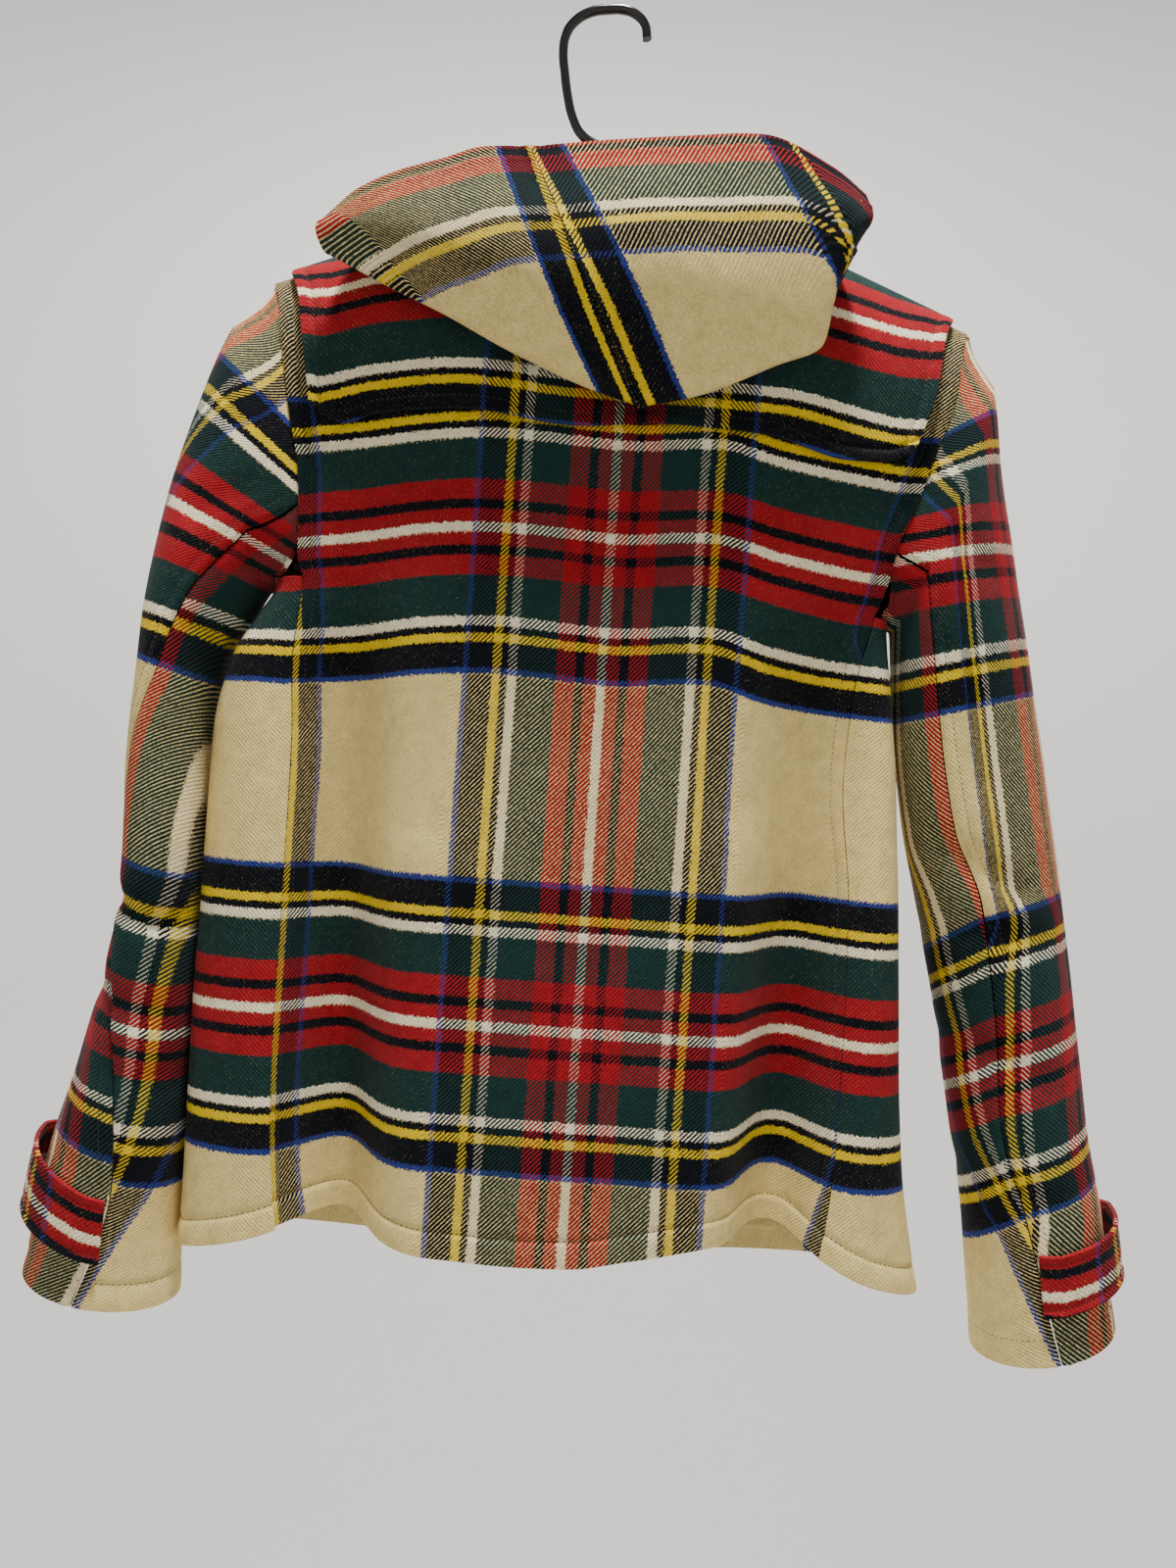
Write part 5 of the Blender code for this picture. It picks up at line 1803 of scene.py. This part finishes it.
def slab_from(name, outline, thick, place):
    """A flat outline of the coat's front, thickened and with a soft rim, as a mesh. It faces -Y."""
    mesh = bmesh.new()
    face = mesh.faces.new([mesh.verts.new((x, 0, z)) for x, z in outline])
    moved = bmesh.ops.extrude_face_region(mesh, geom=[face])["geom"]
    behind = [item for item in moved if isinstance(item, bmesh.types.BMVert)]
    bmesh.ops.translate(mesh, verts=behind, vec=(0, thick, 0))
    bmesh.ops.recalc_face_normals(mesh, faces=mesh.faces)
    rims = [edge for edge in mesh.edges if edge.calc_face_angle(0) > 1.0]
    bmesh.ops.bevel(mesh, geom=rims, offset=thick * 0.3, segments=2, profile=0.5, affect="EDGES")
    return placed_on_coat(name, mesh, place, 40)


def patch_outline(width, height, corner):
    outline = []
    for turn in range(4):
        along_x = width / 2 - corner if turn in (0, 3) else corner - width / 2
        along_z = height / 2 - corner if turn in (0, 1) else corner - height / 2
        for step in range(7):
            angle = math.radians(90 * turn + 15 * step)
            outline.append((along_x + corner * math.cos(angle), along_z + corner * math.sin(angle)))
    return outline


print("patches are", PATCH_SIZE[0], "by", PATCH_SIZE[1], "mm")

# %% The toggles, their cords and their patches
def toggle_profile(along):
    """The radius of a toggle: full towards its ends, with a waist where the cords go round."""
    share = abs(along) / (TOGGLE_LENGTH / 2)
    body = TOGGLE_RADIUS * (1 - share**4) ** 0.5 * (1 - 0.25 * share)
    waist = (TOGGLE_RADIUS - TOGGLE_WAIST) * math.exp(-((along / 6.5) ** 2))
    return max(body - waist, 1.6)


def toggle_mesh(name, place):
    steps = [TOGGLE_LENGTH * (k / 32 - 0.5) for k in range(33)]
    mesh = spun([(along, toggle_profile(along), 0) for along in steps], (1, 0, 0), 32)
    bmesh.ops.holes_fill(mesh, edges=[edge for edge in mesh.edges if edge.is_boundary], sides=0)
    bmesh.ops.recalc_face_normals(mesh, faces=mesh.faces)
    return placed_on_coat(name, mesh, place, 45)


def add_fastening(number, drop):
    on_right = float(front_y(TOGGLE_X, drop)) - OVERLAP_STEP
    toggle_y = on_right - 1.5 - CORD_RADIUS - TOGGLE_RADIUS
    name = f"wood_toggle_{number}"
    data = toggle_mesh(name, (TOGGLE_X, toggle_y, -drop))
    hard_piece(name, data, WOOD, f"toggle_{number}")
    ring = TOGGLE_WAIST + CORD_RADIUS + 0.4
    for label, patch_x, at, inner in (
        ("loop", RIGHT_PATCH_X, TOGGLE_X - 2.2, 1),
        ("toggle", LEFT_PATCH_X, TOGGLE_X + 2.2, -1),
    ):
        step = OVERLAP_STEP if patch_x < 0 else 0.0
        face = float(front_y(patch_x, drop)) - step
        wide, high, thick = PATCH_SIZE
        outer_face = face - 0.9 - thick
        outline = patch_outline(wide, high, 7.0)
        data = slab_from(f"leather_{label}_{number}", outline, thick, (patch_x, outer_face, -drop))
        hard_piece(f"leather_{label}_{number}", data, LEATHER, f"{label}_patch_{number}")
        rim = patch_outline(wide - 7, high - 7, 4.5)
        rim = np.array(rim + rim[:1])
        line = np.stack([rim[:, 0] + patch_x, np.full(len(rim), outer_face), rim[:, 1] - drop], axis=1)
        ups = np.tile((0.0, -1.0, 0.0), (len(line), 1))
        joined(f"stitches_{label}_{number}", [stitches_along(line, ups, 0.0)], THREAD)
        end_x = patch_x + inner * (wide / 2 + 0.4)
        low_y = on_right - 0.7 - CORD_RADIUS
        near_x = at - inner * 9
        path = [(end_x, face - 0.9 - CORD_RADIUS, 3.4), (between(end_x, near_x, 0.5), low_y, 5.0)]
        path.append((near_x, low_y - 0.6, ring))
        for turn in range(7):
            angle = math.radians(90 - 30 * turn)
            path.append((at, toggle_y - ring * math.cos(angle), ring * math.sin(angle)))
        path += [(x, y, -z) for x, y, z in reversed(path[:3])]
        data = smooth_tube(f"braid_{label}_{number}", [(x, y, z - drop) for x, y, z in path], CORD_RADIUS)
        hard_piece(f"braid_{label}_{number}", data, CORD, f"{label}_cord_{number}")


for number, drop in enumerate(TOGGLE_DROPS, 1):
    add_fastening(number, drop)
print(len(TOGGLE_DROPS), "toggles")

# %% The buttons of the straps
BUTTON_RADIUS = 10.0
BUTTON_THICK = 3.5
# The button's outline, from the middle of its dished face out over its rim and back under it
BUTTON_OUTLINE = (
    # radius, height
    (0, 0.2),
    (5.6, 0.2),
    (6.6, 1.0),
    (8.6, 1.5),
    (9.6, 1.2),
    (10, 0.4),
    (10, -1.4),
    (9.2, -1.75),
    (0, -1.75),
)


def add_button(side, name):
    points, normals = sampled(strap_shape(side), np.array([0.12, 0.2]), np.array([0.5, 0.6]))
    normal = normals[0, 0] * (1 if normals[0, 0][0] * side > 0 else -1)
    centre = points[0, 0] + normal * (STRAP_LIFT + STRAP_CLOTH + 0.6 + BUTTON_THICK / 2)
    mesh = spun([(radius, 0, high) for radius, high in BUTTON_OUTLINE], (0, 0, 1), 40)
    bmesh.ops.remove_doubles(mesh, verts=mesh.verts, dist=0.01)
    bmesh.ops.recalc_face_normals(mesh, faces=mesh.faces)
    turn = Vector(normal).to_track_quat("Z", "Y").to_matrix().to_4x4()
    bmesh.ops.transform(mesh, matrix=turn, verts=mesh.verts)
    data = placed_on_coat("button_" + name, mesh, centre, 40)
    hard_piece("button_" + name, data, HORN, "strap_button_" + name)


add_button(1, "left")
add_button(-1, "right")
print("buttons", 2 * BUTTON_RADIUS, "mm across")

# %% [markdown]
# ## The hanger
# One glossy black plastic tube makes the hook and runs on into the arms, and a bar joins their ends. Only
# the hook shows above the hood.

# %% The hanger's tubes
HOOK_RADIUS = 3.1
ARM_RADIUS = 4.5
ARM_END = 205.0
ARM_SAG = 4.0
BAR_DROP = 220.0
HOOK = table(
    "x drop",
    (-6.5, 14),
    (-4.5, 5),
    (1, -1),
    (9, -4),
    (20, -3.5),
    (31, -1),
    (41, 6),
    (46, 15),
    (47, 25),
    (45, 40),
    (42, 55),
    (38, 68),
    (32, 78),
    (22, 84),
    (10, 87),
    (-4, 91),
    (-18, 99),
    (-33, 113),
    (-48, 133),
)


def add_hanger():
    under = CLOTH + LAY + ARM_RADIUS
    path = []
    for x in np.linspace(-ARM_END, ARM_END, 15):
        sag = ARM_SAG * (1 - abs(x) / ARM_END)
        path.append((x, 0, -(ridge(x) + under + 0.5 + sag)))
    end_drop = -path[0][2]
    half = (BAR_DROP - end_drop) / 2
    for sign in (1, -1):
        turns = range(1, 6) if sign > 0 else range(5, 0, -1)
        for turn in turns:
            angle = math.radians(180 * turn / 6)
            x = sign * (ARM_END + half * 0.8 * math.sin(angle))
            path.append((x, 0, -(end_drop + half * (1 - math.cos(angle)))))
        if sign > 0:
            path += [(x, 0, -BAR_DROP) for x in np.linspace(ARM_END, -ARM_END, 7)]
    arms = smooth_tube("hanger_arms", path, ARM_RADIUS, cyclic=True)
    hook = smooth_tube("hanger_hook", [(x, 0, -z) for x, z in zip(HOOK["x"], HOOK["drop"])], HOOK_RADIUS)
    mesh = bmesh.new()
    mesh.from_mesh(arms)
    mesh.from_mesh(hook)
    mesh.to_mesh(arms)
    mesh.free()
    arms.shade_smooth()
    hard_piece("hanger_tube", arms, PLASTIC, "hanger")


add_hanger()
print("hook tube", 2 * HOOK_RADIUS, "mm, arm tube", 2 * ARM_RADIUS, "mm")

# %% [markdown]
# ## The cloth's size
# The area of cloth cut for all the panels is added up and printed.

# %% Print the cloth cut
print("cloth cut:", round(sum(row[3] for row in SHEETS), 3), "square metres")
